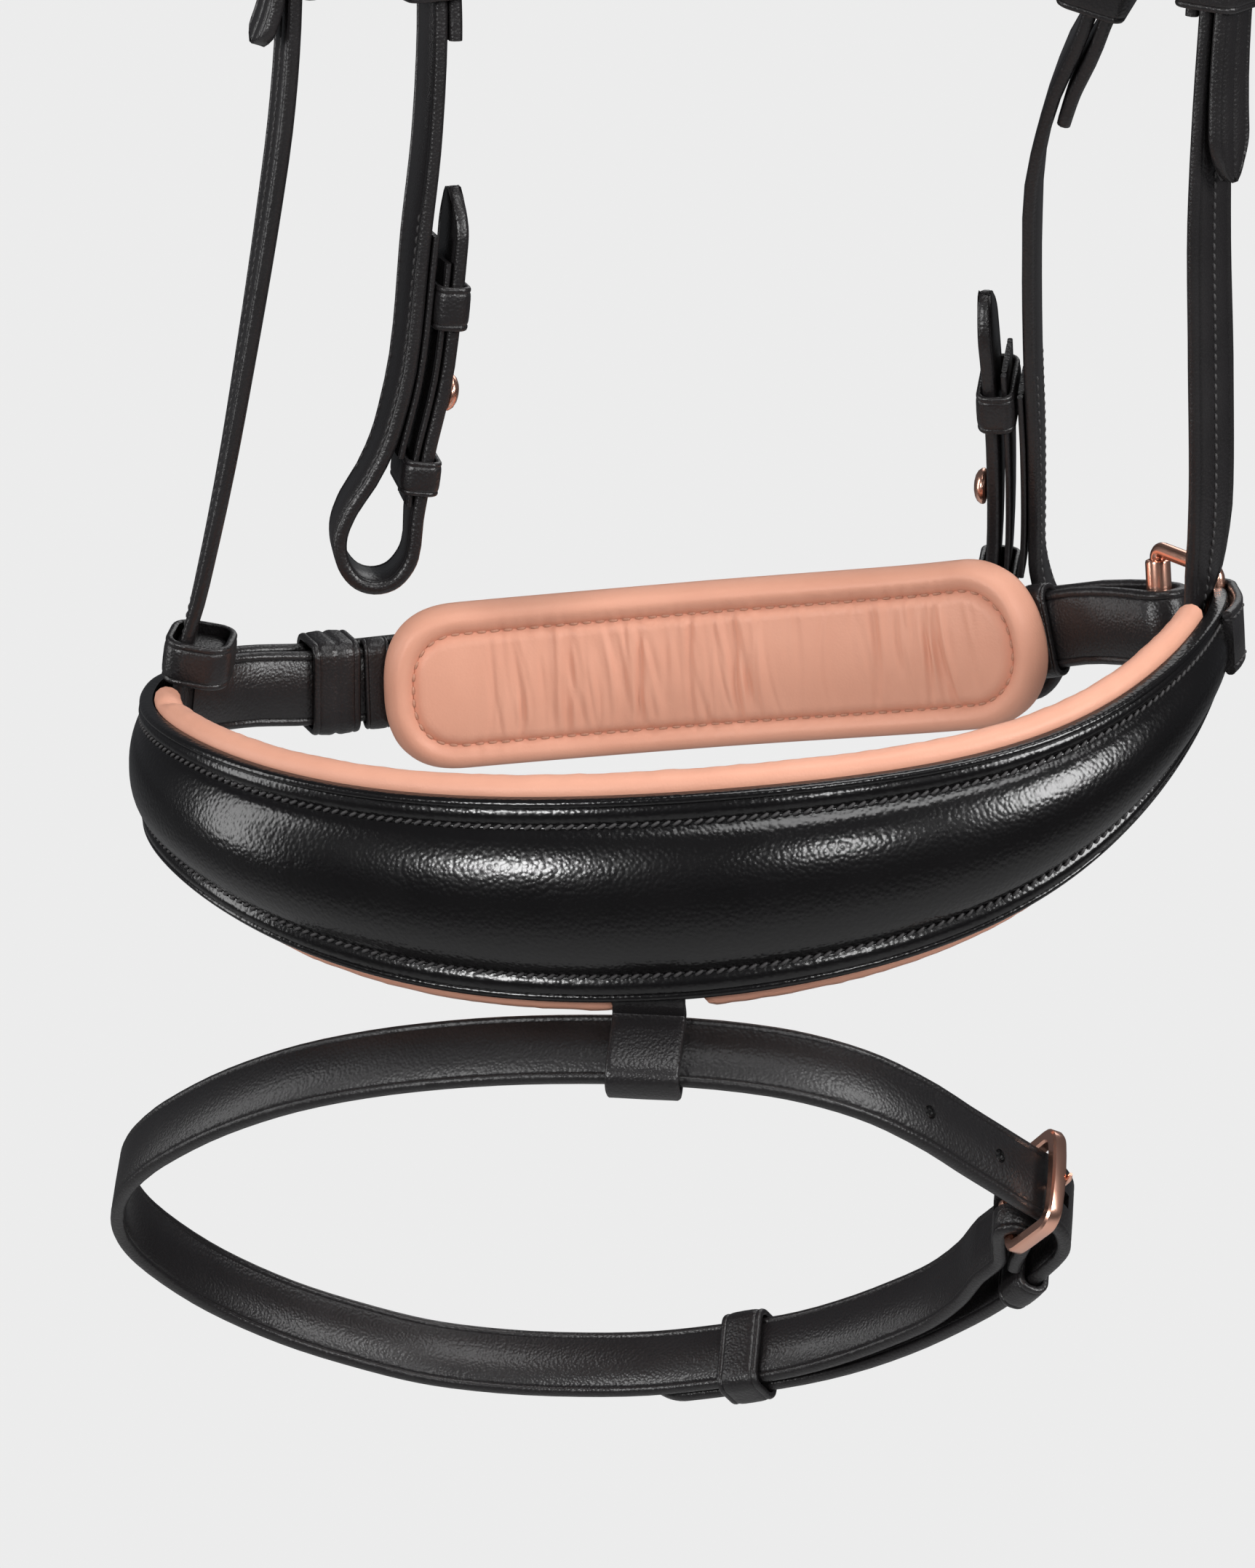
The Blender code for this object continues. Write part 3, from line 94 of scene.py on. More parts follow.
def camera_sees(tree, seen, unseen, output):
    """Show one shader to the camera and another to everything else."""
    mix = new_node(tree, "MixShader")
    join(tree, (new_node(tree, "LightPath"), "Is Camera Ray", mix, "Fac"), (unseen, 0, mix, 1),
         (seen, 0, mix, 2), (mix, "Shader", output, "Surface"))


def paint(name, **values):
    """A new material, with its node tree and its shader."""
    material = bpy.data.materials.new(name)
    material.use_nodes = True
    return material, material.node_tree, set_inputs(material.node_tree.nodes["Principled BSDF"], **values)


world = bpy.data.worlds.new("room")
bpy.context.scene.world = world
world.use_nodes = True
sky = set_inputs(world.node_tree.nodes["Background"], Color=ROOM_GREY, Strength=1.0)
sky_light = new_node(world.node_tree, "Background", Color=(0.9, 0.93, 1.0, 1.0), Strength=0.10)
camera_sees(world.node_tree, sky, sky_light, world.node_tree.nodes["World Output"])

bpy.ops.mesh.primitive_plane_add(size=16.0, location=(0.0, 0.0, -1.45))
floor = bpy.context.object
floor.name = "floor"
floor_paint, tree, shader = paint("floor_paint", Base_Color=(0.55, 0.55, 0.55, 1.0), Roughness=0.9)
camera_sees(tree, new_node(tree, "Emission", Color=ROOM_GREY), shader, tree.nodes["Material Output"])
floor.data.materials.append(floor_paint)
floor.select_set(False)

# Lamps: a soft box each side of the camera, for the two highlights on the noseband, a tall one at the
# left side, a strong one at the right, a wide one overhead and a weak one behind.
for lamp_name, lamp_place, lamp_aim, lamp_size, lamp_power in (
        ("left_front_box", (-0.80, -1.30, 0.07), (0.0, 0.0, -0.42), (0.30, 0.30), 11.0),
        ("right_front_box", (0.57, -1.38, 0.14), (0.0, 0.0, -0.42), (0.22, 0.26), 5.0),
        ("left_side_box", (-1.60, -0.20, -0.10), (0.0, 0.0, -0.40), (0.4, 1.3), 9.0),
        ("right_key_box", (1.60, -0.70, 0.42), (0.0, 0.0, -0.42), (0.6, 0.8), 26.0),
        ("top_box", (0.25, -0.25, 1.1), (0.0, 0.0, -0.4), (1.1, 0.7), 14.0),
        ("back_box", (0.3, 1.6, 0.6), (0.0, 0.0, -0.3), (1.2, 1.2), 7.0)):
    lamp_data = bpy.data.lights.new(lamp_name, "AREA")
    lamp_data.shape = "RECTANGLE"
    lamp_data.size, lamp_data.size_y = lamp_size
    lamp_data.energy = lamp_power
    add(lamp_name, lamp_data, lamp_place, lamp_aim)

# Crown. The crownpiece is a flat black strap with pressed lines near its edges, which lies over a
# wider padding of soft black leather. The padding is sewn along two channels and stops short of
# the crown's ends, where the billets of the other straps are sewn between its layers.
CROWN_HALF_WIDTH = 88.0
CROWN_RISE = 100.0
CROWN_STRAIGHT_Z = -122.0
CROWN_END_Z = -144.0
CROWN_PAD_END_Z = -104.0
CROWN_WIDTH = 50.0
CROWN_EAR_WIDTH = 40.0
CROWN_THICKNESS = 4.0
CROWN_PAD_THICKNESS = 9.0
GAP = 0.3
DENSE_SPAN = 24
X_AXIS, Y_AXIS, Z_AXIS = np.eye(3)


def texture(tree, kind, **values):
    """A texture that is laid out in its object's own space."""
    node = new_node(tree, kind, **values)
    join(tree, (new_node(tree, "TexCoord"), "Object", node, "Vector"))
    return node


def vary(tree, shader, source, colours, gloss=None):
    """Let a texture move a shader's colour between two and, where given, its roughness between two."""
    shade = new_node(tree, "Mix")
    shade.data_type = "RGBA"
    set_inputs(shade, A=colours[0], B=colours[1])
    join(tree, (source, "Fac", shade, "Factor"), (shade, "Result", shader, "Base Color"))
    if gloss:
        span = new_node(tree, "MapRange", To_Min=gloss[0], To_Max=gloss[1])
        join(tree, (source, "Fac", span, "Value"), (span, "Result", shader, "Roughness"))


def leather(name, dark, light, roughness, cell, depth, spread=0.06, **values):
    """A dyed leather between two near colours, with an uneven gloss of a roughness and its spread, and a
    fine grain of pebbles and pores of a cell size and depth in millimetres."""
    material, tree, shader = paint(name, **values)
    pebbles = texture(tree, "TexVoronoi", Scale=1.0 / (cell * MM))
    pebbles.feature = "SMOOTH_F1"
    set_inputs(pebbles, Smoothness=0.6)
    pores = texture(tree, "TexNoise", Scale=0.6 / (cell * MM), Detail=6.0)
    both = new_node(tree, "Math")
    both.operation = "MULTIPLY_ADD"
    both.inputs[1].default_value = 0.45
    bump = new_node(tree, "Bump", Strength=1.0, Distance=depth * MM)
    bump.invert = True
    join(tree, (pores, "Fac", both, 0), (pebbles, "Distance", both, 2), (both, "Value", bump, "Height"),
         (bump, "Normal", shader, "Normal"))
    vary(tree, shader, texture(tree, "TexNoise", Scale=55.0, Detail=5.0), (dark, light),
         (roughness - spread, roughness + spread))
    return material


BLACK_LEATHER = leather("black_leather", (0.008, 0.0071, 0.0075, 1), (0.016, 0.0142, 0.015, 1),
                        0.36, 0.65, 0.09)
FLESH_SIDE = leather("black_leather_back", (0.006, 0.0053, 0.0056, 1), (0.012, 0.0106, 0.0112, 1),
                     0.42, 0.75, 0.1)
PADDED_BLACK = leather("padded_black_leather", (0.005, 0.0045, 0.005, 1), (0.011, 0.010, 0.011, 1),
                       0.46, 0.9, 0.05)


def dense(points, per_span=DENSE_SPAN):
    """Many points on a centripetal Catmull-Rom curve through the given ones."""
    p = np.asarray(points, float)
    p = np.vstack([2 * p[0] - p[1], p, 2 * p[-1] - p[-2]])
    out = []
    for a, b, c, d in zip(p[:-3], p[1:-2], p[2:-1], p[3:]):
        t1 = max(np.linalg.norm(b - a), 1e-6) ** 0.5
        t2 = t1 + max(np.linalg.norm(c - b), 1e-6) ** 0.5
        t3 = t2 + max(np.linalg.norm(d - c), 1e-6) ** 0.5
        for t in np.linspace(t1, t2, per_span, endpoint=False):
            ab = (t1 - t) / t1 * a + t / t1 * b
            bc = (t2 - t) / (t2 - t1) * b + (t - t1) / (t2 - t1) * c
            cd = (t3 - t) / (t3 - t2) * c + (t - t2) / (t3 - t2) * d
            abc = (t2 - t) / t2 * ab + t / t2 * bc
            bcd = (t3 - t) / (t3 - t1) * bc + (t - t1) / (t3 - t1) * cd
            out.append((t2 - t) / (t2 - t1) * abc + (t - t1) / (t2 - t1) * bcd)
    out.append(p[-2])
    return np.array(out)


def unit(v):
    """The vector at length one."""
    v = np.asarray(v, float)
    return v / np.linalg.norm(v)


def heading(line, i):
    """Direction of a line of points at its point i."""
    return unit(line[min(i + 1, len(line) - 1)] - line[max(i - 1, 0)])


def mirror(points):
    """The other half of a section's points, in the order that goes on round it."""
    return [(-x, z) for x, z in reversed(points)]


def ring_faces(rings, count, closed=False, base=0):
    """Faces between rings of points, and across both ends where the row of rings is open."""
    faces = []
    for i in range(rings if closed else rings - 1):
        here = base + i * count
        there = base + (i + 1) % rings * count
        for k in range(count):
            m = (k + 1) % count
            faces.append((here + k, here + m, there + m, there + k))
    if not closed:
        faces.append(tuple(range(base, base + count)))
        faces.append(tuple(range(base + (rings - 1) * count, base + rings * count)))
    return faces


def solid_mesh(name, points, faces, material=None):
    """A closed mesh of points in millimetres, smooth where it has a material."""
    mesh = bpy.data.meshes.new(name)
    mesh.from_pydata([tuple(float(c) * MM for c in point) for point in points], [], faces)
    build = bmesh.new()
    build.from_mesh(mesh)
    bmesh.ops.recalc_face_normals(build, faces=build.faces)
    build.to_mesh(mesh)
    build.free()
    if material:
        mesh.materials.append(material)
        mesh.shade_smooth()
    return mesh


def skin(name, rings, material, closed=False, sharp=50.0, back=None):
    """Skin rings of points into one closed smooth object. The last half of each ring may take another
    material."""
    count = len(rings[0])
    faces = ring_faces(len(rings), count, closed)
    mesh = solid_mesh(name, [point for ring in rings for point in ring], faces, material)
    if back:
        mesh.materials.append(back)
        for face in mesh.polygons[:len(faces) - 2]:
            face.material_index = int(face.index % count >= count // 2)
    mesh.set_sharp_from_angle(angle=math.radians(sharp))
    return add(name, mesh)


def dress(piece, body, slot, *nodes):
    """Hang a piece on the body that carries it and hide the solids it stands for; the finish it is given,
    slot, is not used.
    """
    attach(piece, body)
    if nodes:
        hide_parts(*nodes)


def crown_arch():
    """The line of the crown padding's underside from the left end over the poll to the right."""
    points = [(-CROWN_HALF_WIDTH, 0.0, CROWN_END_Z), (-CROWN_HALF_WIDTH, 0.0, CROWN_STRAIGHT_Z)]
    for k in range(13):
        t = math.pi * k / 12
        points.append((-CROWN_HALF_WIDTH * math.cos(t), 0.0, -CROWN_RISE + CROWN_RISE * math.sin(t)))
    points += [(CROWN_HALF_WIDTH, 0.0, CROWN_STRAIGHT_Z), (CROWN_HALF_WIDTH, 0.0, CROWN_END_Z)]
    return dense(points, 12)


def crown_layer(name, material, low, high, widths, end_z, section):
    """A layer of the crown between two heights over the poll line, cut at end_z on both sides."""
    line = crown_arch()
    rings = []
    for i, place in enumerate(line):
        if place[2] < end_z - 0.01:
            continue
        out = np.cross(heading(line, i), Y_AXIS)
        if place[2] < -CROWN_RISE:
            out = X_AXIS * math.copysign(1.0, place[0])
        elif out @ (place + Z_AXIS * (CROWN_RISE + 30)) < 0:
            out = -out
        width = np.interp(abs(place[0]) / CROWN_HALF_WIDTH, (0.0, 0.75, 0.97, 1.0), widths)
        rings.append([place + Y_AXIS * x + out * z for x, z in section(width, low, high)])
    return skin(name, rings, material)


def crown_strap_section(width, low, high):
    """A flat strap with rounded edges and a pressed line near each."""
    w = width / 2
    top = [(w, low + 1.0), (w, high - 1.0), (w - 0.4, high - 0.25), (w - 1.2, high), (w - 2.2, high),
           (w - 2.7, high - 0.35), (w - 3.2, high)]
    return top + mirror(top) + [(0.6 - w, low + 0.2), (1.6 - w, low), (w - 1.6, low), (w - 0.6, low + 0.2)]


def crown_pad_section(width, low, high):
    """A padding with rolled edges and two sewn channels in its crowned top."""
    w = width / 2
    mid = (low + high) / 2
    top = [(w, mid), (w - 0.5, high - 1.6), (w - 1.8, high - 0.4), (w - 3.6, high), (w - 5.4, high - 0.6),
           (w - 6.4, high - 1.4), (w - 7.4, high - 0.5), (w - 10.0, high + 0.2), (w * 0.3, high + 0.6)]
    under = [(w * 0.3, low), (w - 7.4, low + 0.1), (w - 6.4, low + 1.1), (w - 5.4, low + 0.1),
             (w - 3.0, low), (w - 1.2, low + 0.6)]
    return top + mirror(top) + mirror(under) + under


crown_low = CROWN_PAD_THICKNESS + GAP
crown_padding = crown_layer("crown_padding_leather", PADDED_BLACK, 0.0, CROWN_PAD_THICKNESS - 1.2,
                            (CROWN_WIDTH + 6, CROWN_EAR_WIDTH + 6, CROWN_WIDTH, CROWN_WIDTH),
                            CROWN_PAD_END_Z, crown_pad_section)
dress(crown_padding, "crown", "black_leather", "crown_padding")
crown_strap = crown_layer("crown_strap", BLACK_LEATHER, crown_low, crown_low + CROWN_THICKNESS,
                          (CROWN_WIDTH, CROWN_EAR_WIDTH, CROWN_WIDTH, CROWN_WIDTH), CROWN_END_Z,
                          crown_strap_section)
dress(crown_strap, "crown", "black_leather", "crownpiece")

# Browband. A curved black band over a wider rose lining, held by a stitched loop at each end that
# slides on the crown's ends.
BROW_X = CROWN_HALF_WIDTH + CROWN_PAD_THICKNESS + GAP + CROWN_THICKNESS / 2
BROW_DEPTH = 92.0
BROW_FRONT = CROWN_WIDTH / 2 + 5.4
BEAD = ((-1.0, 0.45, -1.0), (-0.72, 0.95, 0.1), (0.0, 1.1, 0.35), (0.72, 0.95, 0.1), (1.0, 0.45, -1.0))
ROSE_LEATHER = leather("rose_leather", (0.66, 0.315, 0.215, 1), (0.76, 0.39, 0.275, 1), 0.5, 0.6, 0.033,
                       Metallic=0.05, Specular_IOR_Level=0.35)


def thread(name, colour):
    """Waxed sewing thread, mottled at random towards a darker tone: a painted shade that stands for the gaps
    between its fibres.
    """
    material, tree, shader = paint(name, Roughness=0.6)
    # dark is the painted shade between the fibres, 0.6 of the thread's own colour.
    dark = tuple(0.6 * c for c in colour[:3]) + (1.0,)
    vary(tree, shader, texture(tree, "TexNoise", Scale=2600.0), (dark, colour))
    return material


BLACK_THREAD = thread("black_thread", (0.05, 0.047, 0.048, 1.0))
ROSE_THREAD = thread("rose_thread", (0.6, 0.3, 0.2, 1.0))


def runs(line):
    """Distance along a line of points to each of them."""
    return np.concatenate([[0], np.cumsum(np.linalg.norm(np.diff(line, axis=0), axis=1))])


def at_run(s, run, table):
    """The row of a table at run s, between the rows that lie at the given runs."""
    return np.array([np.interp(s, run, table[:, k]) for k in range(3)])


def round_ring(centre, one, two, radius, count):
    """Points of a circle about a centre in the plane of two directions."""
    turns = [2 * math.pi * k / count for k in range(count)]
    return [centre + (one * math.cos(turn) + two * math.sin(turn)) * radius for turn in turns]


def sew(name, line, normals, body, pitch=2.8, reach=2.2, radius=0.32, slant=0.0, material=BLACK_THREAD,
        slot="black_leather"):
    """A row of single stitches along a line, each a small bead that dips into the leather at its ends."""
    line = np.asarray(line, float)
    normals = np.asarray(normals, float)
    run = runs(line)
    count = max(int(run[-1] / pitch), 1)
    turn = math.radians(slant)
    verts = []
    faces = []
    for i in range(count):
        s = (i + 0.5) * run[-1] / count
        centre = at_run(s, run, line)
        normal = unit(at_run(s, run, normals))
        along = unit(at_run(s + 0.7, run, line) - at_run(s - 0.7, run, line))
        direction = along * math.cos(turn) + unit(np.cross(normal, along)) * math.sin(turn)
        edge = np.cross(normal, direction)
        faces += ring_faces(len(BEAD), 6, base=len(verts))
        for t, size, drop in BEAD:
            middle = centre + direction * t * reach / 2 + normal * drop * radius
            verts += round_ring(middle, edge, normal, radius * size, 6)
    dress(add(name, solid_mesh(name, verts, faces, material)), body, slot)


def rounded_rectangle(half_x, half_y, radius, per_side=5):
    """Points round a rectangle with rounded corners."""
    signs = ((1, 1), (-1, 1), (-1, -1), (1, -1))
    points = []
    for index, (sx, sy) in enumerate(signs):
        for k in range(7):
            turn = math.pi / 2 * (index + k / 6)
            points.append((sx * (half_x - radius) + radius * math.cos(turn),
                           sy * (half_y - radius) + radius * math.sin(turn)))
        turn = math.pi / 2 * (index + 1)
        sx, sy = signs[(index + 1) % 4]
        start = np.array(points[-1])
        stop = np.array((sx * (half_x - radius) + radius * math.cos(turn),
                         sy * (half_y - radius) + radius * math.sin(turn)))
        points += [tuple(start + (stop - start) * k / per_side) for k in range(1, per_side)]
    return points


def bent_bar(name, origin, axes, path, section, material, sharp=50.0):
    """A closed bar of a given section bent along a path in the first two axes."""
    rings = []
    for i, here in enumerate(path):
        along = unit(np.subtract(path[(i + 1) % len(path)], path[i - 1]))
        side = np.array([along[1], -along[0]])
        ring = []
        for x, z in section:
            flat = here + side * x
            ring.append(origin + axes[0] * flat[0] + axes[1] * flat[1] + axes[2] * z)
        rings.append(ring)
    return skin(name, rings, material, closed=True, sharp=sharp)


def band(name, node, body, origin, axes, half_x, half_z, height, thickness, radius=None, ridges=1):
    """A leather keeper bent round straps, with a pressed line near each edge and one or two soft ridges."""
    corner = (radius or min(1.9, half_z)) + thickness / 2
    outline = rounded_rectangle(half_x + thickness / 2, half_z + thickness / 2, corner, 6)
    half = [(0.5, -0.3), (0.5, 0.12), (0.485, 0.34), (0.455, 0.46), (0.42, 0.5), (0.385, 0.46),
            (0.365, 0.34), (0.345, 0.46), (0.30, 0.54), (0.2, 0.6)]
    half += [(0.12, 0.6), (0.0, 0.62)] if ridges < 2 else [(0.13, 0.66), (0.07, 0.6), (0.0, 0.36)]
    profile = [(-0.48, -0.5), (0.48, -0.5)] + half + mirror(half[:-1])
    section = [(t * thickness, y * height) for y, t in profile]
    keeper = bent_bar(name, origin, (axes[0], axes[2], axes[1]), outline, section, BLACK_LEATHER)
    dress(keeper, body, "black_leather", node)


for side, sign in (("left", -1.0), ("right", 1.0)):
    place = np.array([sign * BROW_X, 0.0, CROWN_STRAIGHT_Z])
    band("browband_end_loop_" + side, "browband_loop_" + side, "browband", place,
         (Y_AXIS, Z_AXIS, X_AXIS * sign), CROWN_WIDTH / 2 + 0.8, CROWN_THICKNESS / 2 + 0.6, 17.0, 2.2)
brow_line = []
for k in range(13):
    t = math.pi * k / 12
    brow_line.append((-BROW_X * math.cos(t), -BROW_FRONT - BROW_DEPTH * math.sin(t) ** 0.9,
                      CROWN_STRAIGHT_Z - 4.0 * math.sin(t)))
brow_line = dense(brow_line, 8)


def brow_ring(i, section, lift=0.0):
    """A section of the browband at a point of its line."""
    along = heading(brow_line, i)
    out = -unit(np.cross(Z_AXIS, along))
    up = -np.cross(out, along)
    return [brow_line[i] + up * v + out * (u + lift) for v, u in section]


brow_black = [(7.5, 0.4), (7.2, 1.2), (6.6, 1.5), (5.6, 1.55), (5.2, 1.25), (4.8, 1.6), (2.4, 2.5),
              (0.0, 2.8)]
brow_black += mirror(brow_black[:-1]) + [(-7.5, -0.8), (-6.9, -1.5), (6.9, -1.5), (7.5, -0.8)]
brow_rose = [(9.5, 0.4), (9.3, 1.4), (8.5, 2.0), (7.4, 1.9), (0.0, 1.8)]
rose_under = [(0.0, -3.3), (5.0, -2.4), (6.0, -1.7), (7.0, -2.4), (8.4, -2.1), (9.4, -0.8)]
brow_rose += mirror(brow_rose[:-1]) + mirror(rose_under[1:]) + rose_under
browband_front = skin("browband_front", [brow_ring(i, brow_black) for i in range(len(brow_line))],
                      BLACK_LEATHER)
dress(browband_front, "browband", "black_leather", "browband")
browband_pad = skin("browband_rose_lining", [brow_ring(i, brow_rose, -4.0) for i in range(len(brow_line))],
                    ROSE_LEATHER)
dress(browband_pad, "browband", "rose_leather", "browband_lining")
for label, edge in (("low", -5.2), ("high", 5.2)):
    sewn = range(4, len(brow_line) - 4)
    sew("browband_stitches_" + label, [brow_ring(i, [(edge, 1.35)])[0] for i in sewn],
        [brow_ring(i, [(0.0, 1.0)])[0] - brow_line[i] for i in sewn], "browband")

# Noseband hangers. Each is a narrow black strap from the noseband's end up to a small buckle, and
# a billet that comes down from the crown, passes the buckle and ends in a keeper. Both have pressed
# lines near their edges and a sewn line down the middle.
STRAP_THICKNESS = 3.0
HANGER_WIDTH = 12.5
KEEPER_THICKNESS = 1.5
BAR = 1.4
TONGUE = 1.1
BUCKLE_LENGTH = 17.0
BUCKLE_Z = -250.0
HEEL_LIFT = -1.7
SLOT_HALF = TONGUE + 0.55
SLOT = ((-SLOT_HALF, -4.6, -5.2), (SLOT_HALF, 7.5, 5.2))
HOLE = ((-SLOT_HALF, 1.5, -3.2), (SLOT_HALF, BUCKLE_LENGTH - 1.5, 6.5))
HEEL_ARC = (95, -31.7)
SHORTEST_STEP = 1.1
LONGEST_STEP = 5.0
NEAR_END = 16.0
STRAIGHT = 0.9985
STITCH_DEPTH = 0.12


class Route:
    """A smooth line in space with an outward side, which layers of strap follow."""

    def __init__(self, points, outward=None):
        self.points = dense(points)
        self.run = runs(self.points)
        self.length = self.run[-1]
        if outward:
            self.angles = np.interp(self.run, self.run[::DENSE_SPAN], outward)

    def line_at(self, s):
        """Place and direction at run s, kept inside the line."""
        inside = min(max(s, 0.0), self.length)
        place, low, high = (at_run(t, self.run, self.points)
                            for t in (inside, max(inside - 2, 0), min(inside + 2, self.length)))
        return inside, place, unit(high - low)

    def at(self, s):
        """Place, direction, outward side and width direction at run s."""
        inside, place, along = self.line_at(s)
        angle = math.radians(np.interp(inside, self.run, self.angles))
        across = unit(np.cross(along, np.array([math.cos(angle), math.sin(angle), 0.0])))
        return place + along * (s - inside), along, np.cross(across, along), across

    def spot(self, s, z):
        """The point z outward of run s, and the width direction there."""
        place, along, out, across = self.at(s)
        return place + out * z, across

    def nearest(self, height):
        """The run at which the route first passes this height."""
        passed = (s for s in np.arange(0.0, self.length, 0.25) if self.at(s)[0][2] <= height)
        return next(passed, self.length)


def strap_section(width, thickness, creased, middle):
    """Section of a finished strap: rounded edges, a pressed line near each if it is creased and, on the
    face that middle names by its sign, a groove down the middle."""
    w = width / 2
    t = thickness / 2
    crease = w - min(1.9, 0.3 * w)
    dip = 0.4 if creased else 0.0

    def face(sign):
        half = [(w, t * 0.35), (w - 0.12 * thickness, t * 0.78), (w - 0.3 * thickness, t),
                (crease + 0.45, t), (crease, t - dip), (crease - 0.45, t)]
        half += [(min(0.5, 0.2 * w), t), (0.0, t - 0.32)] if middle == sign else [(0.0, t + 0.04)]
        return [(x, sign * z) for x, z in half + mirror(half[:-1])]

    return face(1) + face(-1)[::-1]


def tip_width(width, distance, length):
    """Width of a strap near its rounded point."""
    if distance >= length:
        return width
    return width * (0.12 + 0.88 * math.sin(0.5 * math.pi * max(distance, 0.0) / length) ** 0.75)


class Ribbon:
    """A finished strap whose edge line is drawn in a sheet, and the places on it."""

    def __init__(self, sheet, line, width, thickness):
        flat = dense(line, 16)
        kept = [flat[0]]
        for here in flat[1:-1]:
            if np.linalg.norm(here - kept[-1]) > SHORTEST_STEP:
                kept.append(here)
        kept.append(flat[-1])
        found = [sheet.spot(a, b) for a, b in kept]
        self.width = width
        self.thickness = thickness
        self.places = np.array([place for place, across in found])
        self.run = runs(self.places)
        alongs = [heading(self.places, i) for i in range(len(found))]
        self.acrosses = np.array([unit(across - along * (along @ across))
                                  for (place, across), along in zip(found, alongs)])
        self.outs = np.cross(self.acrosses, alongs)

    def make(self, name, start_tip=0.0, end_tip=0.0, creased=True, middle=0, back=None):
        """The strap's mesh, a section every millimetre or so near its ends and where it bends."""
        rings = []
        last = 0
        for i, done in enumerate(self.run):
            left = self.run[-1] - done
            bend = self.outs[i] @ self.outs[last]
            if min(done, left) >= NEAR_END and bend > STRAIGHT and done - self.run[last] < LONGEST_STEP:
                continue
            last = i
            local = min(tip_width(self.width, done, start_tip), tip_width(self.width, left, end_tip))
            rings.append([self.places[i] + self.acrosses[i] * x + self.outs[i] * z
                          for x, z in strap_section(local, self.thickness, creased, middle)])
        return skin(name, rings, BLACK_LEATHER, back=back)

    def stitch(self, name, first, last, x, body, pitch=2.8):
        """A row of stitches along the strap's second face, x across it."""
        sunk = self.thickness / 2 - STITCH_DEPTH
        points = []
        normals = []
        for s in np.arange(first, last, 1.5):
            out = unit(at_run(s, self.run, self.outs))
            across = unit(at_run(s, self.run, self.acrosses))
            points.append(at_run(s, self.run, self.places) + across * x - out * sunk)
            normals.append(-out)
        sew(name, points, normals, body, pitch, pitch * 0.78)


def box_cutter(origin, axes, low, high):
    """A box given in a local frame, to be cut out of a strap."""
    corners = [origin + axes[0] * x + axes[1] * y + axes[2] * z
               for x in (low[0], high[0]) for y in (low[1], high[1]) for z in (low[2], high[2])]
    return solid_mesh("cutter", corners, [(0, 1, 3, 2), (4, 6, 7, 5), (0, 4, 5, 1), (2, 3, 7, 6),
                                          (0, 2, 6, 4), (1, 5, 7, 3)])


def cut(target, mesh):
    """Cut a closed mesh out of a piece, and drop the cutter."""
    cutter = add("cutter", mesh)
    bpy.ops.object.select_all(action="DESELECT")
    bpy.context.view_layer.objects.active = target
    target.select_set(True)
    hole = target.modifiers.new("hole", "BOOLEAN")
    hole.operation = "DIFFERENCE"
    hole.solver = "EXACT"
    hole.object = cutter
    bpy.ops.object.modifier_apply(modifier=hole.name)
    bpy.data.objects.remove(cutter, do_unlink=True)
    target.select_set(False)


def strap(name, node, body, sheet, line, width, thickness=STRAP_THICKNESS, cutters=(), **finish):
    """A finished strap along an edge line in a sheet, with its holes cut. Its ribbon is returned."""
    ribbon = Ribbon(sheet, line, width, thickness)
    piece = ribbon.make(name, **finish)
    for cutter in cutters:
        cut(piece, cutter)
    dress(piece, body, "black_leather", node)
    return ribbon


def route_axes(route, s, z):
    """A place on a route and the frame there: across, towards the crown, outward."""
    place, along, out, across = route.at(s)
    return place + out * z, (across, -along, out)


def straight(*run):
    """Edge line points that lie on the route at the given runs."""
    return [(s, 0.0) for s in run]


def arc(radius, first, step, count=7):
    """Points of an arc about the origin, at equal steps of an angle in degrees."""
    turns = [math.radians(first + step * k) for k in range(count)]
    return [(radius * math.cos(turn), radius * math.sin(turn)) for turn in turns]


def fold(heel, start, direction=1, legs=24.0):
    """Edge line of a strap end folded round a heel bar: in on the outer leg, back on the inner one."""
    s0, z0 = heel
    bend = [(-y, z) for y, z in arc(BAR + GAP + STRAP_THICKNESS / 2, *HEEL_ARC)]
    line = [(13.0, 1.7), (6.5, 2.3)] + bend + [(6.5, -2.3), (13.0, -1.7), (legs, -1.7)]
    return start + [(s0 + direction * y, z0 + z) for y, z in line]


def weave(heel, tail, lift, end_lift):
    """Edge line of a billet: from the crown, under its buckle's tip bar, over the heel bar, to its tail."""
    s0, z0 = heel
    line = straight(0.0, 25.0, 55.0) + [(s0 - 38.0, -1.6)]
    line += [(s0 - y, z0 + z) for y, z in ((26.0, -4.1), (17.5, -3.9), (12.5, -1.2), (6.5, 3.4), (0.5, 6.5),
                                           (-6.5, 6.2), (-13.0, 5.6))]
    return line + [((s0 + 13.0 + tail) / 2, lift), (tail, end_lift)]


ROSE_GOLD, tree, shader = paint("rose_gold_plate", Metallic=1.0)
vary(tree, shader, texture(tree, "TexNoise", Scale=90.0, Detail=2.0),
     ((0.93, 0.47, 0.34, 1.0), (1.0, 0.60, 0.46, 1.0)), (0.18, 0.28))
FRAME_SECTION = [(1.5, -0.6), (1.5, 0.35), (0.95, 1.25), (0.3, 1.45), (-0.5, 1.3), (-1.3, 0.5), (-1.4, -0.6),
                 (-0.8, -1.3), (0.8, -1.3)]


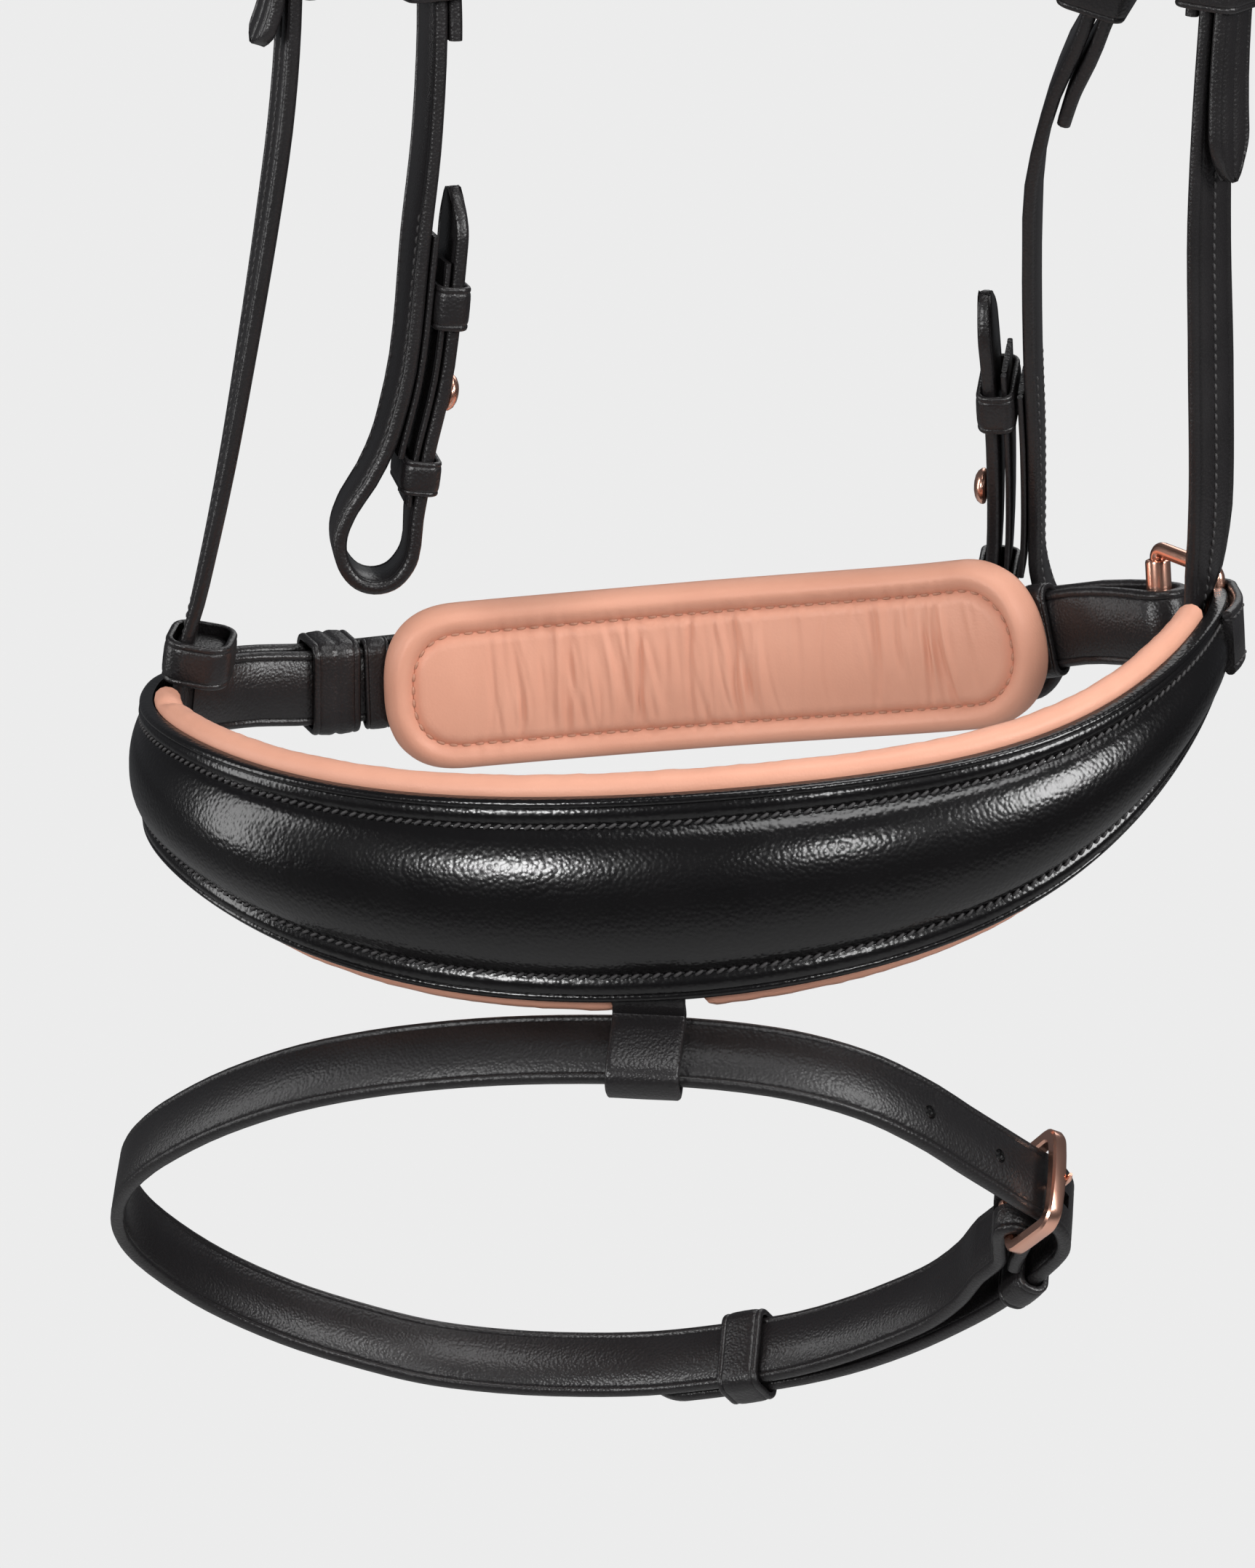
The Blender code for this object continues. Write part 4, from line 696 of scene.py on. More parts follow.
def buckle(prefix, origin, axes, strap_width, body, length=BUCKLE_LENGTH, section=FRAME_SECTION, corner=2.4,
           bow=0.0):
    """A cast frame with a bevelled bar, and a drawn tongue curled round its heel bar."""
    half = strap_width / 2 + 1.0 + BAR
    path = []
    for x, y in rounded_rectangle(half, length / 2, corner):
        y += length / 2
        path.append((x * (1.0 + 0.25 * bow * y / length / half), y - bow * (x / half) ** 2 * y / length))
    cast_frame = bent_bar(prefix + "_cast_frame", origin, axes, path, section, ROSE_GOLD, 38.0)
    dress(cast_frame, body, "rose_gold_metal", prefix + "_frame")
    rest = BAR + TONGUE + 0.25
    points = arc(BAR + GAP + TONGUE, 285, -18.5, 11)
    points += [(4.0, 2.6), (length * 0.6, rest * 0.95), (length, rest + 0.1), (length + 2.2, rest - 0.4)]
    points = dense(points, 4)
    last = len(points) - 1
    radii = np.interp(range(len(points)), (0, last - 11, last - 4, last),
                      (TONGUE, TONGUE, TONGUE * 0.8, TONGUE * 0.35))
    rings = []
    for i, radius in enumerate(radii):
        along = heading(points, i)
        side = np.array([along[1], -along[0]])
        ring = []
        for k in range(12):
            turn = 2 * math.pi * (k + 0.5) / 12
            flat = points[i] + side * radius * math.cos(turn)
            ring.append(origin + axes[1] * flat[0] + axes[2] * flat[1] + axes[0] * radius * math.sin(turn))
        rings.append(ring)
    tongue = skin(prefix + "_drawn_tongue", rings, ROSE_GOLD, sharp=60.0)
    dress(tongue, prefix + "_tongue_body", "rose_gold_metal", prefix + "_tongue")


hanger_routes = {
    "left": Route([(-103.1, -16.5, -138.0), (-103.3, -16.4, -165.0), (-103.6, -16.0, -205.0),
                   (-104.0, -15.2, -245.0), (-104.2, -14.0, -275.7), (-106.6, -12.0, -299.8),
                   (-111.0, -8.5, -324.7), (-118.0, -3.5, -359.0), (-124.0, 0.8, -386.0),
                   (-130.6, 4.8, -412.0), (-134.4, 7.6, -425.0), (-136.4, 8.8, -438.0),
                   (-137.9, 8.8, -453.0)],
                  [180, 182, 189, 200, 207, 206, 203, 198, 194, 190, 184, 178, 177]),
    "right": Route([(103.1, -16.5, -138.0), (102.6, -16.4, -165.0), (100.4, -16.0, -205.0),
                    (98.0, -15.2, -245.0), (97.0, -14.0, -271.5), (96.3, -12.0, -297.0),
                    (96.3, -9.0, -322.0), (97.4, -4.0, -352.0), (98.2, 1.0, -386.0), (97.2, 4.4, -400.0),
                    (95.8, 6.6, -410.0), (95.4, 7.6, -419.5)],
                   [0, -4, -14, -24, -28, -33, -39, -43, -42, -34, -14, 0])}
for side, tail_z, tail_lift, tail_tip in (("left", -285.0, 6.9, 4.0), ("right", -309.5, 5.3, 11.0)):
    route = hanger_routes[side]
    heel = (route.nearest(BUCKLE_Z), HEEL_LIFT)
    origin, axes = route_axes(route, *heel)
    strap("noseband_billet_strap_" + side, "noseband_billet_" + side, "noseband", route,
          weave(heel, route.nearest(tail_z), 3.8, tail_lift), HANGER_WIDTH,
          cutters=[box_cutter(origin, axes, *HOLE)], end_tip=tail_tip, middle=1)
    start = straight(route.length, route.length - 30.0, route.length - 60.0, heel[0] + 60.0, heel[0] + 30.0)
    ribbon = strap("noseband_hanging_strap_" + side, "noseband_hanger_" + side, "noseband", route,
                   fold(heel, start), HANGER_WIDTH, cutters=[box_cutter(origin, axes, *SLOT)], middle=-1)
    ribbon.stitch("hanger_stitches_" + side, 4.0, ribbon.run[-1] - 70.0, 0.0, "noseband", 2.3)
    buckle("hanger_buckle_" + side, origin, axes, HANGER_WIDTH, "noseband")
    band("hanger_strap_keeper_" + side, "hanger_keeper_" + side, "noseband",
         *route_axes(route, heel[0] + 17.0, 0.2), HANGER_WIDTH / 2 + 0.7, 6.0, 10.0, KEEPER_THICKNESS)

# Cheekpieces. Each black strap hangs from a buckle under the crown, turns up round a bit ring's
# place at its lower end, and is held there by a hook stud between two keepers. A thinner leather,
# the safe, lies between the turned-up end and the strap, and a lining backs the strap above it.
CHEEK_WIDTH = 16.0
cheek_routes = {
    "left": Route([(-95.4, 0.0, -138.0), (-93.0, 0.0, -165.0), (-86.0, 0.0, -205.0), (-78.4, 0.0, -245.0),
                   (-75.2, 0.0, -275.0), (-76.4, 0.0, -305.0), (-79.4, 0.0, -330.0), (-82.6, 0.0, -358.0),
                   (-87.0, 0.0, -378.0), (-88.8, 0.0, -392.0), (-89.3, 0.0, -400.0), (-89.5, 0.0, -425.0)],
                  [180, 184, 194, 202, 206, 206, 206, 204, 200, 197, 195, 195]),
    "right": Route([(95.4, 0.0, -138.0), (93.5, 0.4, -165.0), (87.0, 2.0, -205.0), (77.0, 4.5, -245.0),
                    (69.6, 9.0, -275.6), (62.2, 18.0, -292.6), (56.2, 30.0, -315.0), (55.0, 40.0, -334.0),
                    (54.8, 54.0, -362.0), (55.6, 64.0, -388.0), (55.4, 72.0, -411.0), (54.2, 75.5, -430.0),
                    (53.4, 76.0, -441.0), (53.0, 76.0, -466.0)],
                   [0, -3, -7, -9, -8, -7, -5, -3, -2, -1, 0, 0, 0, 0])}
STUD_PROFILE = [(0.02, 0.0), (1.9, 0.0), (1.75, 1.2), (1.75, 2.0), (3.0, 2.2), (4.0, 2.5), (4.3, 3.0),
                (4.2, 3.6), (3.6, 4.4), (2.6, 4.95), (1.3, 5.25), (0.02, 5.35)]
for side, loop_z, tail_z, leg, (inner, outer), (upper, button, tip), (tip_lean, next_lean) in (
        ("left", -400.0, -276.0, 35.0, (-6.0, -8.7), (-57.0, -37.0, -83.0), (1.4, 0.2)),
        ("right", -441.0, -303.0, 20.0, (-6.2, -9.7), (-69.0, -42.8, -97.0), (-1.2, -0.7))):
    body = "cheek_" + side
    route = cheek_routes[side]
    heel = (route.nearest(BUCKLE_Z), HEEL_LIFT)
    origin, axes = route_axes(route, *heel)
    strap("cheek_billet_strap_" + side, "cheek_billet_" + side, body, route,
          weave(heel, route.nearest(tail_z), 3.9, 3.9), CHEEK_WIDTH,
          cutters=[box_cutter(origin, axes, *HOLE)], end_tip=5.0)

    loop = route.nearest(loop_z)
    stud = loop + button
    turned = [(tip, outer + tip_lean), (tip + 8.0, outer + next_lean), (upper - 8.0, outer - 0.1),
              (upper + 4.0, outer), (button, outer), (-24.0, outer), (-14.0, outer), (-8.0, -8.3),
              (-2.0, -8.3), (3.5, -7.2), (7.8, -3.8), (9.0, 0.3), (7.8, 4.4), (3.8, 7.6), (-2.0, 8.6),
              (-8.0, 7.0), (-16.0, 3.0), (-24.0, 0.6), (-34.0, 0.0)]
    start = [(loop + a, b) for a, b in turned] + straight((loop + heel[0] + 4.0) / 2, heel[0] + 38.0)
    ribbon = strap("cheek_strap_leather_" + side, "cheek_strap_" + side, body, route,
                   fold(heel, start, legs=leg), CHEEK_WIDTH, cutters=[box_cutter(origin, axes, *SLOT)],
                   start_tip=11.0)
    for label, edge in (("a", -5.7), ("b", 5.7)):
        ribbon.stitch("cheek_stitches_%s_%s" % (side, label), -tip + 42.0, -tip + 108.0, edge, body, 2.4)
    buckle("cheek_buckle_" + side, origin, axes, CHEEK_WIDTH, body)
    band("cheek_strap_keeper_" + side, "cheek_keeper_" + side, body, *route_axes(route, heel[0] + 21.0, 0.1),
         CHEEK_WIDTH / 2 + 1.7, 6.3, 10.0, KEEPER_THICKNESS)
    lining_line = [(loop - 73.0, -2.6), (loop - 45.0, -2.6), (loop - 22.0, -2.6)]
    strap("cheek_thin_lining_" + side, "cheek_lining_" + side, body, route, lining_line, CHEEK_WIDTH, 1.3)
    safe_line = [(s, inner) for s in (loop + upper - 10.0, loop + upper, stud, loop - 18.0, loop - 10.5)]
    strap("cheek_stud_safe_" + side, "cheek_safe_" + side, body, route, safe_line, CHEEK_WIDTH, 1.2)
    half = (inner - outer) / 2 + 1.05 + 0.45
    centre = (inner + outer - 0.9) / 2
    for label, offset, height, play in (("upper", upper, 10.0, 0.0), ("lower", -18.0, 8.0, 0.35)):
        band("cheek_%s_loop_%s" % (label, side), "cheek_%s_keeper_%s" % (label, side), body,
             *route_axes(route, loop + offset, centre), CHEEK_WIDTH / 2 + 0.7, half + play, height, 1.2)
    place, along, out, across = route.at(stud)
    neck = place + out * (outer - STRAP_THICKNESS / 2 + 1.65)
    hook_stud = skin("cheek_round_stud_" + side,
                     [round_ring(neck - out * z, along, across, r, 40) for r, z in STUD_PROFILE],
                     ROSE_GOLD, sharp=45.0)
    dress(hook_stud, body, "rose_gold_metal", "hook_stud_" + side)

# Throatlash. A narrow strap sewn to the crown's right end, buckled to a short billet on the left.
THROAT_WIDTH = 12.5
THROAT_HEEL_RUN = 46.0
THROAT_CENTRE_Z = -150.0


class Loop(Route):
    """A route in an upright plane across the bridle, whose width runs fore and aft."""

    def at(self, s):
        inside, place, along = self.line_at(s)
        across = unit(Y_AXIS - along * along[1])
        out = np.cross(across, along)
        if out @ (place - Z_AXIS * THROAT_CENTRE_Z) < 0:
            across = -across
            out = -out
        return place + along * (s - inside), along, out, across


left_half = [(-91.6, 19.0, -138.0), (-91.0, 19.0, -160.0), (-87.0, 19.5, -185.0), (-78.0, 20.5, -212.0),
             (-60.0, 21.5, -238.0), (-32.0, 22.5, -255.0)]
route = Loop(left_half + [(0.0, 23.0, -260.0)] + [(-x, y, z) for x, y, z in reversed(left_half)])
heel = (THROAT_HEEL_RUN, HEEL_LIFT)
origin, axes = route_axes(route, *heel)
line = [(0.0, 0.0), (12.0, -0.8)]
line += [(heel[0] - y, z) for y, z in ((22.0, -5.3), (17.5, -5.6), (12.5, -2.9), (6.5, 1.7), (0.5, 4.8),
                                       (-6.5, 4.5), (-13.0, 3.9), (-24.0, 3.9), (-34.0, 3.9), (-44.0, 4.0))]
strap("throatlash_short_end", "throatlash_billet", "throatlash", route, line, THROAT_WIDTH,
      cutters=[box_cutter(origin, axes, *HOLE)], end_tip=11.0)
end = route.length
start = straight(end, end - 30, end * 0.75, end * 0.5, heel[0] + 60, heel[0] + 30)
strap("throatlash_long_end", "throatlash_strap", "throatlash", route, fold(heel, start), THROAT_WIDTH,
      cutters=[box_cutter(origin, axes, *SLOT)])
buckle("throat_buckle", origin, axes, THROAT_WIDTH, "throatlash")

# Noseband. A black leather band, domed along its middle and flat along its edges, is sewn in a
# channel near each edge to a rose lining, whose rolled edges stand out above and below it.
NOSE_X = -14.3
NOSE_Y = 6.0
NOSE_HALF_WIDTH = (130.2, 116.7)
NOSE_FRONT_DEPTH = 94.8
NOSE_BACK_DEPTH = 54.0
NOSE_TOP_Z = -430.4
NOSE_TILT = math.radians(5.5)
NOSE_TWIST = -8.0
NOSE_END_ANGLE = (-104.0, 96.0)
NOSE_HEIGHT = 45.6
NOSE_END_HEIGHT = (27.7, 11.2)
NOSE_END_RISE = (-4.2, 19.5)
NOSE_LEATHER = 3.0
NOSE_DOME = 6.0
LINING_END_ANGLE = (-82.0, 81.0)
LINING_THICKNESS = 9.4
TAB_X = -15.5
TAB_WIDTH = 16.0
GLOSSY_BLACK = leather("glossy_black_leather", (0.0022, 0.0019, 0.0021, 1), (0.0045, 0.004, 0.0043, 1),
                       0.22, 0.95, 0.065, 0.04)


def nose_point(angle, inward=0.0):
    """Plan point of the noseband's outer flange at an angle from its front, and the outward side."""
    a = NOSE_HALF_WIDTH[int(angle > 0)] - inward
    b = (NOSE_FRONT_DEPTH if abs(angle) <= 90 else NOSE_BACK_DEPTH) - inward
    t = math.radians(angle)
    place = np.array([NOSE_X + a * math.sin(t), NOSE_Y - b * math.cos(t), 0.0])
    return place, unit([b * math.sin(t), -a * math.cos(t), 0.0])


def nose_height(angle):
    """Height of the black noseband leather at an angle from its front."""
    last = NOSE_END_HEIGHT[int(angle > 0)]
    taper = 1.31 if angle > 0 else 2.07
    return last + (NOSE_HEIGHT - last) * math.cos(math.radians(0.9 * min(abs(angle), 99))) ** taper


def nose_border(angle):
    """Half the leather's height and the share of its full border width that its edges take."""
    half = nose_height(angle) / 2
    return half, min(1.0, half / (NOSE_HEIGHT / 2)) ** 0.8


def nose_frame(angle):
    """Middle of the noseband's inner face, with its up and outward directions. The top edge tilts with
    the noseband and curves up at its ends."""
    place, out = nose_point(angle, NOSE_LEATHER)
    up = np.array([-math.sin(NOSE_TILT), 0.0, math.cos(NOSE_TILT)])
    turn = min(abs(angle), 90)
    across = nose_point(math.copysign(turn, angle))[0][0] - NOSE_X
    rise = NOSE_END_RISE[int(angle > 0)] * math.sin(math.radians(turn)) ** (5.2 if angle > 0 else 10)
    top = NOSE_TOP_Z + math.tan(NOSE_TILT) * across + NOSE_TWIST * (across / 120.0) ** 3 + rise
    place[2] = top - nose_height(angle) / 2
    return place, unit(up - out * (up @ out)), out


def nose_section(angle):
    """Section of the leather: rounded edge, pressed line, flat flange, stitched channel and dome."""
    h, q = nose_border(angle)
    t = NOSE_LEATHER
    fade = math.cos(math.radians(0.88 * abs(angle)))
    dome = NOSE_DOME * max((fade - 0.12) / 0.88, 0.0) ** 0.6
    half = [(h, 0.0), (h, t - 0.9), (h - 0.2 * q, t - 0.35), (h - 0.7 * q, t), (h - 1.5 * q, t + 0.05),
            (h - 1.8 * q, t - 0.25), (h - 2.1 * q, t + 0.05), (h - 3.6 * q, t + 0.25),
            (h - 5.0 * q, t + 0.1), (h - 5.5 * q, t - 0.3), (h - 6.0 * q, t - 0.42), (h - 6.5 * q, t - 0.2)]
    inner = h - 6.5 * q
    for f in (0.94, 0.86, 0.76, 0.64, 0.5, 0.34, 0.17, 0.0):
        half.append((inner * f, t + 0.1 + dome * (1 - f ** 2.3) ** 0.85))
    return half + mirror(half[:-1])


def lining_section(angle):
    """Section of the rose lining: a full roll along each edge, a sewn channel and a crowned field. It
    gives way to the flash tab, and its lower roll shows only along the front."""
    fade = max(math.cos(math.radians(0.95 * abs(angle))), 0.0)
    h = nose_height(angle) / 2 + 3.7 * (0.35 + 0.65 * fade ** 0.5)
    deep = LINING_THICKNESS * (0.55 + 0.45 * fade ** 0.5)
    r = 0.38 * deep
    beside_tab = nose_point(angle)[0][0] - TAB_X
    clear = max(abs(beside_tab) - TAB_WIDTH / 2 - 0.8, 0.0)
    near_tab = min(clear / 3.0, 1.0)
    if beside_tab > 0:
        near_tab = min(near_tab, 0.3 + clear / 30.0)
    half = [(h - 2.4 * r, -2.9), (h - 1.6 * r, -0.9), (h - 1.0 * r, -0.4), (h - 0.45 * r, -0.75),
            (h - 0.12 * r, -0.25 * deep), (h, -0.5 * deep + 0.6), (h - 0.12 * r, -0.62 * deep),
            (h - 0.4 * r, -0.78 * deep), (h - 0.8 * r, -0.88 * deep), (h - 1.3 * r, -0.9 * deep),
            (h - 1.9 * r, -0.84 * deep), (h - 2.4 * r, -0.66 * deep), (h - 2.9 * r, -0.8 * deep),
            ((h - 2.4 * r) * 0.72, -0.93 * deep), ((h - 2.4 * r) * 0.36, -0.99 * deep)]
    shown = min(max((1.0 - abs(angle + 4.0) / 56.0) / 0.25, 0.0), 1.0)
    lowest = nose_height(angle) / 2 - 1.0 + near_tab * (1.2 + 9.0 * shown) * min(1.0, 0.2 + shown)
    recess = 4.0 * (1.0 - min(clear / 2.0, 1.0))
    under = [(max(v, -lowest), min(u, -recess)) for v, u in mirror(half)]
    pinch = 1.5 * math.exp(-((angle + 73.5) / 2.0) ** 2)
    half = [(v - pinch * min(max(-u / 3.0, 0.0), 1.0), u) for v, u in half]
    return half + [(0.0, -deep)] + under


def around_nose(first, last, count, section):
    """Rings of a section carried round the noseband between two angles."""
    rings = []
    for angle in np.linspace(first, last, count):
        place, up, out = nose_frame(angle)
        rings.append([place + up * v + out * u for v, u in section(angle)])
    return rings


nose_leather = skin("noseband_domed_leather", around_nose(*NOSE_END_ANGLE, 160, nose_section), GLOSSY_BLACK,
                    sharp=60.0)
dress(nose_leather, "noseband", "black_leather", "noseband_leather")
lining_rings = around_nose(*LINING_END_ANGLE, 200, lining_section)
for i, ring in enumerate(lining_rings):
    middle = sum(ring) / len(ring)
    for k, point in enumerate(ring):
        pucker = noise.noise(Vector((i * 0.55, k * 0.21, 1.7))) * 0.22
        ring[k] = point + unit(point - middle) * pucker
nose_lining = skin("noseband_rose_lining", lining_rings, ROSE_LEATHER, sharp=80.0)
dress(nose_lining, "noseband", "rose_leather", "noseband_lining")
for edge, sign in (("top", 1), ("bottom", -1)):
    points = []
    normals = []
    for angle in np.linspace(-100.0, 92.0, 240):
        place, up, out = nose_frame(angle)
        h, q = nose_border(angle)
        points.append(place + up * sign * (h - 6.0 * q) + out * (NOSE_LEATHER - 0.2))
        normals.append(out)
    sew("noseband_stitches_" + edge, points, normals, "noseband", pitch=2.3, reach=2.3, radius=0.4,
        slant=30.0)

# Chin strap. The strap leaves the noseband's left end, passes behind the jaw and the pad, turns
# round the roller and comes back outside itself to a buckle behind the pad. The buckle's own strap
# starts at the left end, and a keeper goes round all the layers there.
CHIN_WIDTH = 18.0
CHIN_LAYER = 6.0
CHIN_HEEL_RUN = 92.0
CHIN_KEEPER_X = -108.0
LEFT_RING_Z = -430.2
ROLLER_TURN = 5.3


class Chin(Route):
    """The chin strap's line from the noseband's left end to the roller, outward away from the chin."""

    def at(self, s):
        inside, place, along = self.line_at(s)
        out = unit(np.cross(Z_AXIS, along))
        return place + along * (s - inside), along, out, unit(np.cross(along, out))

    def run_at(self, x):
        """The run at which the strap first reaches this x."""
        return next(s for s in np.arange(0.0, self.length, 0.5) if self.at(s)[0][0] >= x)


chin = Chin([(-132.6, 20.0, -443.2), (-129.8, 25.0, -444.2), (-124.0, 31.0, -445.0), (-112.0, 38.6, -446.4),
             (-96.5, 46.0, -446.4), (-68.0, 54.7, -445.0), (-19.6, 60.0, -440.5), (36.0, 54.7, -433.0),
             (59.0, 46.6, -428.0), (69.5, 40.2, -424.6), (77.9, 34.0, -422.8), (83.3, 29.4, -422.0)])
end = chin.length
heel = (CHIN_HEEL_RUN, CHIN_LAYER + 1.7)
line = straight(-8.0, 20.0, 60.0, 100.0, 150.0, 190.0, end - 30, end - 12.0, end - 4.0)
line += [(end + y, ROLLER_TURN + z) for y, z in arc(ROLLER_TURN, -80, 26.7)]
line += [(end - 4.0, 2 * ROLLER_TURN), (end - 14.0, 9.0), (end - 28.0, 7.4), (end - 60.0, CHIN_LAYER + 0.3),
         (170.0, CHIN_LAYER + 0.2), (140.0, CHIN_LAYER + 0.2), (heel[0] + 27.0, CHIN_LAYER - 0.4)]
line += [(heel[0] + y, heel[1] + z) for y, z in ((17.5, -3.5), (12.5, -1.2), (6.5, 3.4), (0.5, 6.4),
                                                 (-6.5, 5.9), (-13.0, 5.2), (-22.0, 5.3), (-36.0, 5.3))]
origin, (across, back, out) = route_axes(chin, *heel)
axes = (-across, -back, out)
strap("chin_long_strap", "chin_strap", "noseband", chin, line, CHIN_WIDTH,
      cutters=[box_cutter(origin, axes, (-SLOT_HALF, 1.5, -3.0), (SLOT_HALF, 16.0, 8.5))], end_tip=13.0)
start = [(-7.0, CHIN_LAYER - 3.0), (3.0, CHIN_LAYER - 2.2), (10.0, CHIN_LAYER), (36.0, CHIN_LAYER + 1.3),
         (heel[0] - 26.0, CHIN_LAYER + 3.4)]
strap("chin_short_strap", "chin_buckle_strap", "noseband", chin, fold(heel, start, -1, 22.0), CHIN_WIDTH,
      cutters=[box_cutter(origin, axes, *SLOT)])
buckle("chin_buckle", origin, axes, CHIN_WIDTH, "noseband")
band("chin_strap_keeper", "chin_keeper", "noseband",
     *route_axes(chin, chin.run_at(CHIN_KEEPER_X), CHIN_LAYER / 2 + 1.0), CHIN_WIDTH / 2 + 0.8,
     CHIN_LAYER / 2 + 3.3, 11.5, KEEPER_THICKNESS, ridges=2)
route = hanger_routes["left"]
place, along, out, across = route.at(route.nearest(LEFT_RING_Z))
place = place - out * 2.9
band("noseband_left_ring", "left_ring", "noseband", place, (across, along, out), HANGER_WIDTH / 2 + 0.4,
     6.15, 10.5, 1.6, radius=3.4)
rings = []
for inset, level in ((0.8, -4.4), (0.1, -4.0), (0.0, -1.0), (0.1, 2.2), (0.7, 2.9), (2.0, 3.1)):
    rings.append([place + across * x + out * y - along * level
                  for x, y in rounded_rectangle(HANGER_WIDTH / 2 + 0.2 - inset, 5.9 - inset, 3.2)])
left_end = skin("noseband_left_folded_end", rings, BLACK_LEATHER)
dress(left_end, "noseband", "black_leather")

# Roller. A rose gold rectangular loop with a turning tube on its inner bar, round which the chin
# strap pulls, held on the noseband's right end by a short leather chape round its outer bar.
ROLLER_BAR = 1.8
ROLLER_RADIUS = 2.9
ROLLER_HEIGHT = 23.0
ROLLER_FAR = (100.9, 17.0)
ROLLER_LIFT = 3.8
CHAPE_WIDTH = 14.5
CHAPE_THICKNESS = 2.2
place, along, out, across = chin.at(end)
hub = place + out * ROLLER_TURN
up = across if across[2] > 0 else -across
far = np.array([*ROLLER_FAR, hub[2]])
reach = far - hub
reach = unit(reach - up * (reach @ up))
side_way = np.cross(reach, up)
loop_length = float((far - hub) @ reach)
hub = hub + up * ROLLER_LIFT
half = ROLLER_HEIGHT / 2 + 0.9 + ROLLER_BAR
path = []
for x, y in rounded_rectangle(loop_length / 2, half, 2.4):
    along_loop = x / loop_length + 0.5
    path.append((x + loop_length / 2, y * (1.0 - 0.2 * along_loop)))
roller_frame = bent_bar("roller_bent_loop", hub, (reach, up, side_way), path,
                        arc(ROLLER_BAR, 0.0, 180 / 7, 14), ROSE_GOLD, 38.0)
dress(roller_frame, "noseband", "rose_gold_metal", "roller_frame")
profile = [(ROLLER_BAR + 0.3, 0.5), (ROLLER_RADIUS - 0.4, 0.5), (ROLLER_RADIUS - 0.1, 0.492),
           (ROLLER_RADIUS, 0.475)]
rings = [round_ring(hub + up * y * ROLLER_HEIGHT, reach, side_way, radius, 48)
         for radius, y in [(radius, -y) for radius, y in profile] + profile[::-1]]
roller = skin("roller_turning_tube", rings, ROSE_GOLD, closed=True, sharp=35.0)
dress(roller, "roller", "rose_gold_metal", "roller")


class Plane:
    """A flat sheet with its own two directions, in which a strap's edge line is drawn. The strap's
    width runs square to it if no other direction is given."""

    def __init__(self, origin, first, second, across=None):
        self.origin = np.asarray(origin, float)
        self.first = unit(first)
        self.second = unit(second)
        self.across = np.cross(self.first, self.second) if across is None else across

    def spot(self, a, b):
        """The point at a, b and the width direction of a strap there."""
        return self.origin + self.first * a + self.second * b, self.across


bar_end = hub + reach * loop_length
line = [nose_point(angle, -lift)[0][:2] for angle, lift in ((82.0, 2.2), (86.0, 2.7), (91.0, 2.9))]
line += [bar_end[:2] + spot for spot in arc(ROLLER_BAR + 0.35 + CHAPE_THICKNESS / 2, -5, 35)]
chape_plan = Plane((0.0, 0.0, bar_end[2] + 1.6), X_AXIS, Y_AXIS, up)
ribbon = strap("roller_leather_chape", "roller_chape", "noseband", chape_plan, line, CHAPE_WIDTH,
               CHAPE_THICKNESS)
for number, x in enumerate((-5.4, 5.4)):
    ribbon.stitch("roller_chape_stitches_%d" % number, 1.0, 15.0, x, "noseband")

# Chin pad. A stadium cushion of rose leather that slides on the chin strap in two loops. A full
# rolled border is sewn all round, and the field inside it is soft and a little wrinkled.
PAD_LENGTH = 166.5
PAD_HEIGHT = 40.0
PAD_THICKNESS = 11.0
PAD_SEAM = 6.4
PAD_X = -17.0
PAD_BACK = -(STRAP_THICKNESS / 2 + 0.5 + 1.6 + GAP)
PAD_LEVELS = [(2.2, 0.0), (0.9, 0.08), (0.15, 0.24), (0.0, 0.42), (0.2, 0.6), (0.8, 0.76), (1.7, 0.87),
              (2.9, 0.92), (4.2, 0.9), (5.2, 0.84), (PAD_SEAM - 0.4, 0.78), (PAD_SEAM, 0.73),
              (PAD_SEAM + 0.4, 0.77), (PAD_SEAM + 1.1, 0.83), (PAD_SEAM + 2.0, 0.88)]
PAD_LEVELS += [(PAD_SEAM + 2.0 + k, 0.88 + 0.09 * math.sin(math.pi / 2 * k / 11)) for k in range(1, 12)]
pad_middle = chin.run_at(PAD_X)
pad_straight = (PAD_LENGTH - PAD_HEIGHT) / 2


def pad_outline(inset):
    """Points round the pad at an inset from its edge, as run and height. Its left end is the squarer."""
    r = PAD_HEIGHT / 2 - inset
    points = []
    for side, square in ((1, 0.92), (-1, 0.78)):
        for k in range(41):
            turn = math.pi / 2 * side - math.pi * k / 40
            x = math.copysign(abs(math.cos(turn)) ** square, side)
            y = math.copysign(abs(math.sin(turn)) ** square, math.sin(turn))
            points.append((side * pad_straight + r * x, r * y))
        points += [(side * pad_straight * (1 - k / 180), -side * r) for k in range(1, 360)]
    return points


wrinkle_seed = np.random.default_rng(12)
WRINKLES = []
for number in range(120):
    middle = wrinkle_seed.uniform(-58.0, 12.0)
    depth = wrinkle_seed.uniform(0.12, 0.55)
    if number % 5 == 0:
        middle = wrinkle_seed.normal(54.0, 6.0)
    elif number % 6 == 1:
        middle = wrinkle_seed.uniform(5.0, 50.0)
        depth *= 0.5
    WRINKLES.append((middle, wrinkle_seed.uniform(-0.12, 0.12), wrinkle_seed.uniform(-0.01, 0.01),
                     wrinkle_seed.uniform(-8.0, 8.0), wrinkle_seed.uniform(8.0, 20.0),
                     wrinkle_seed.uniform(0.5, 1.2), depth))


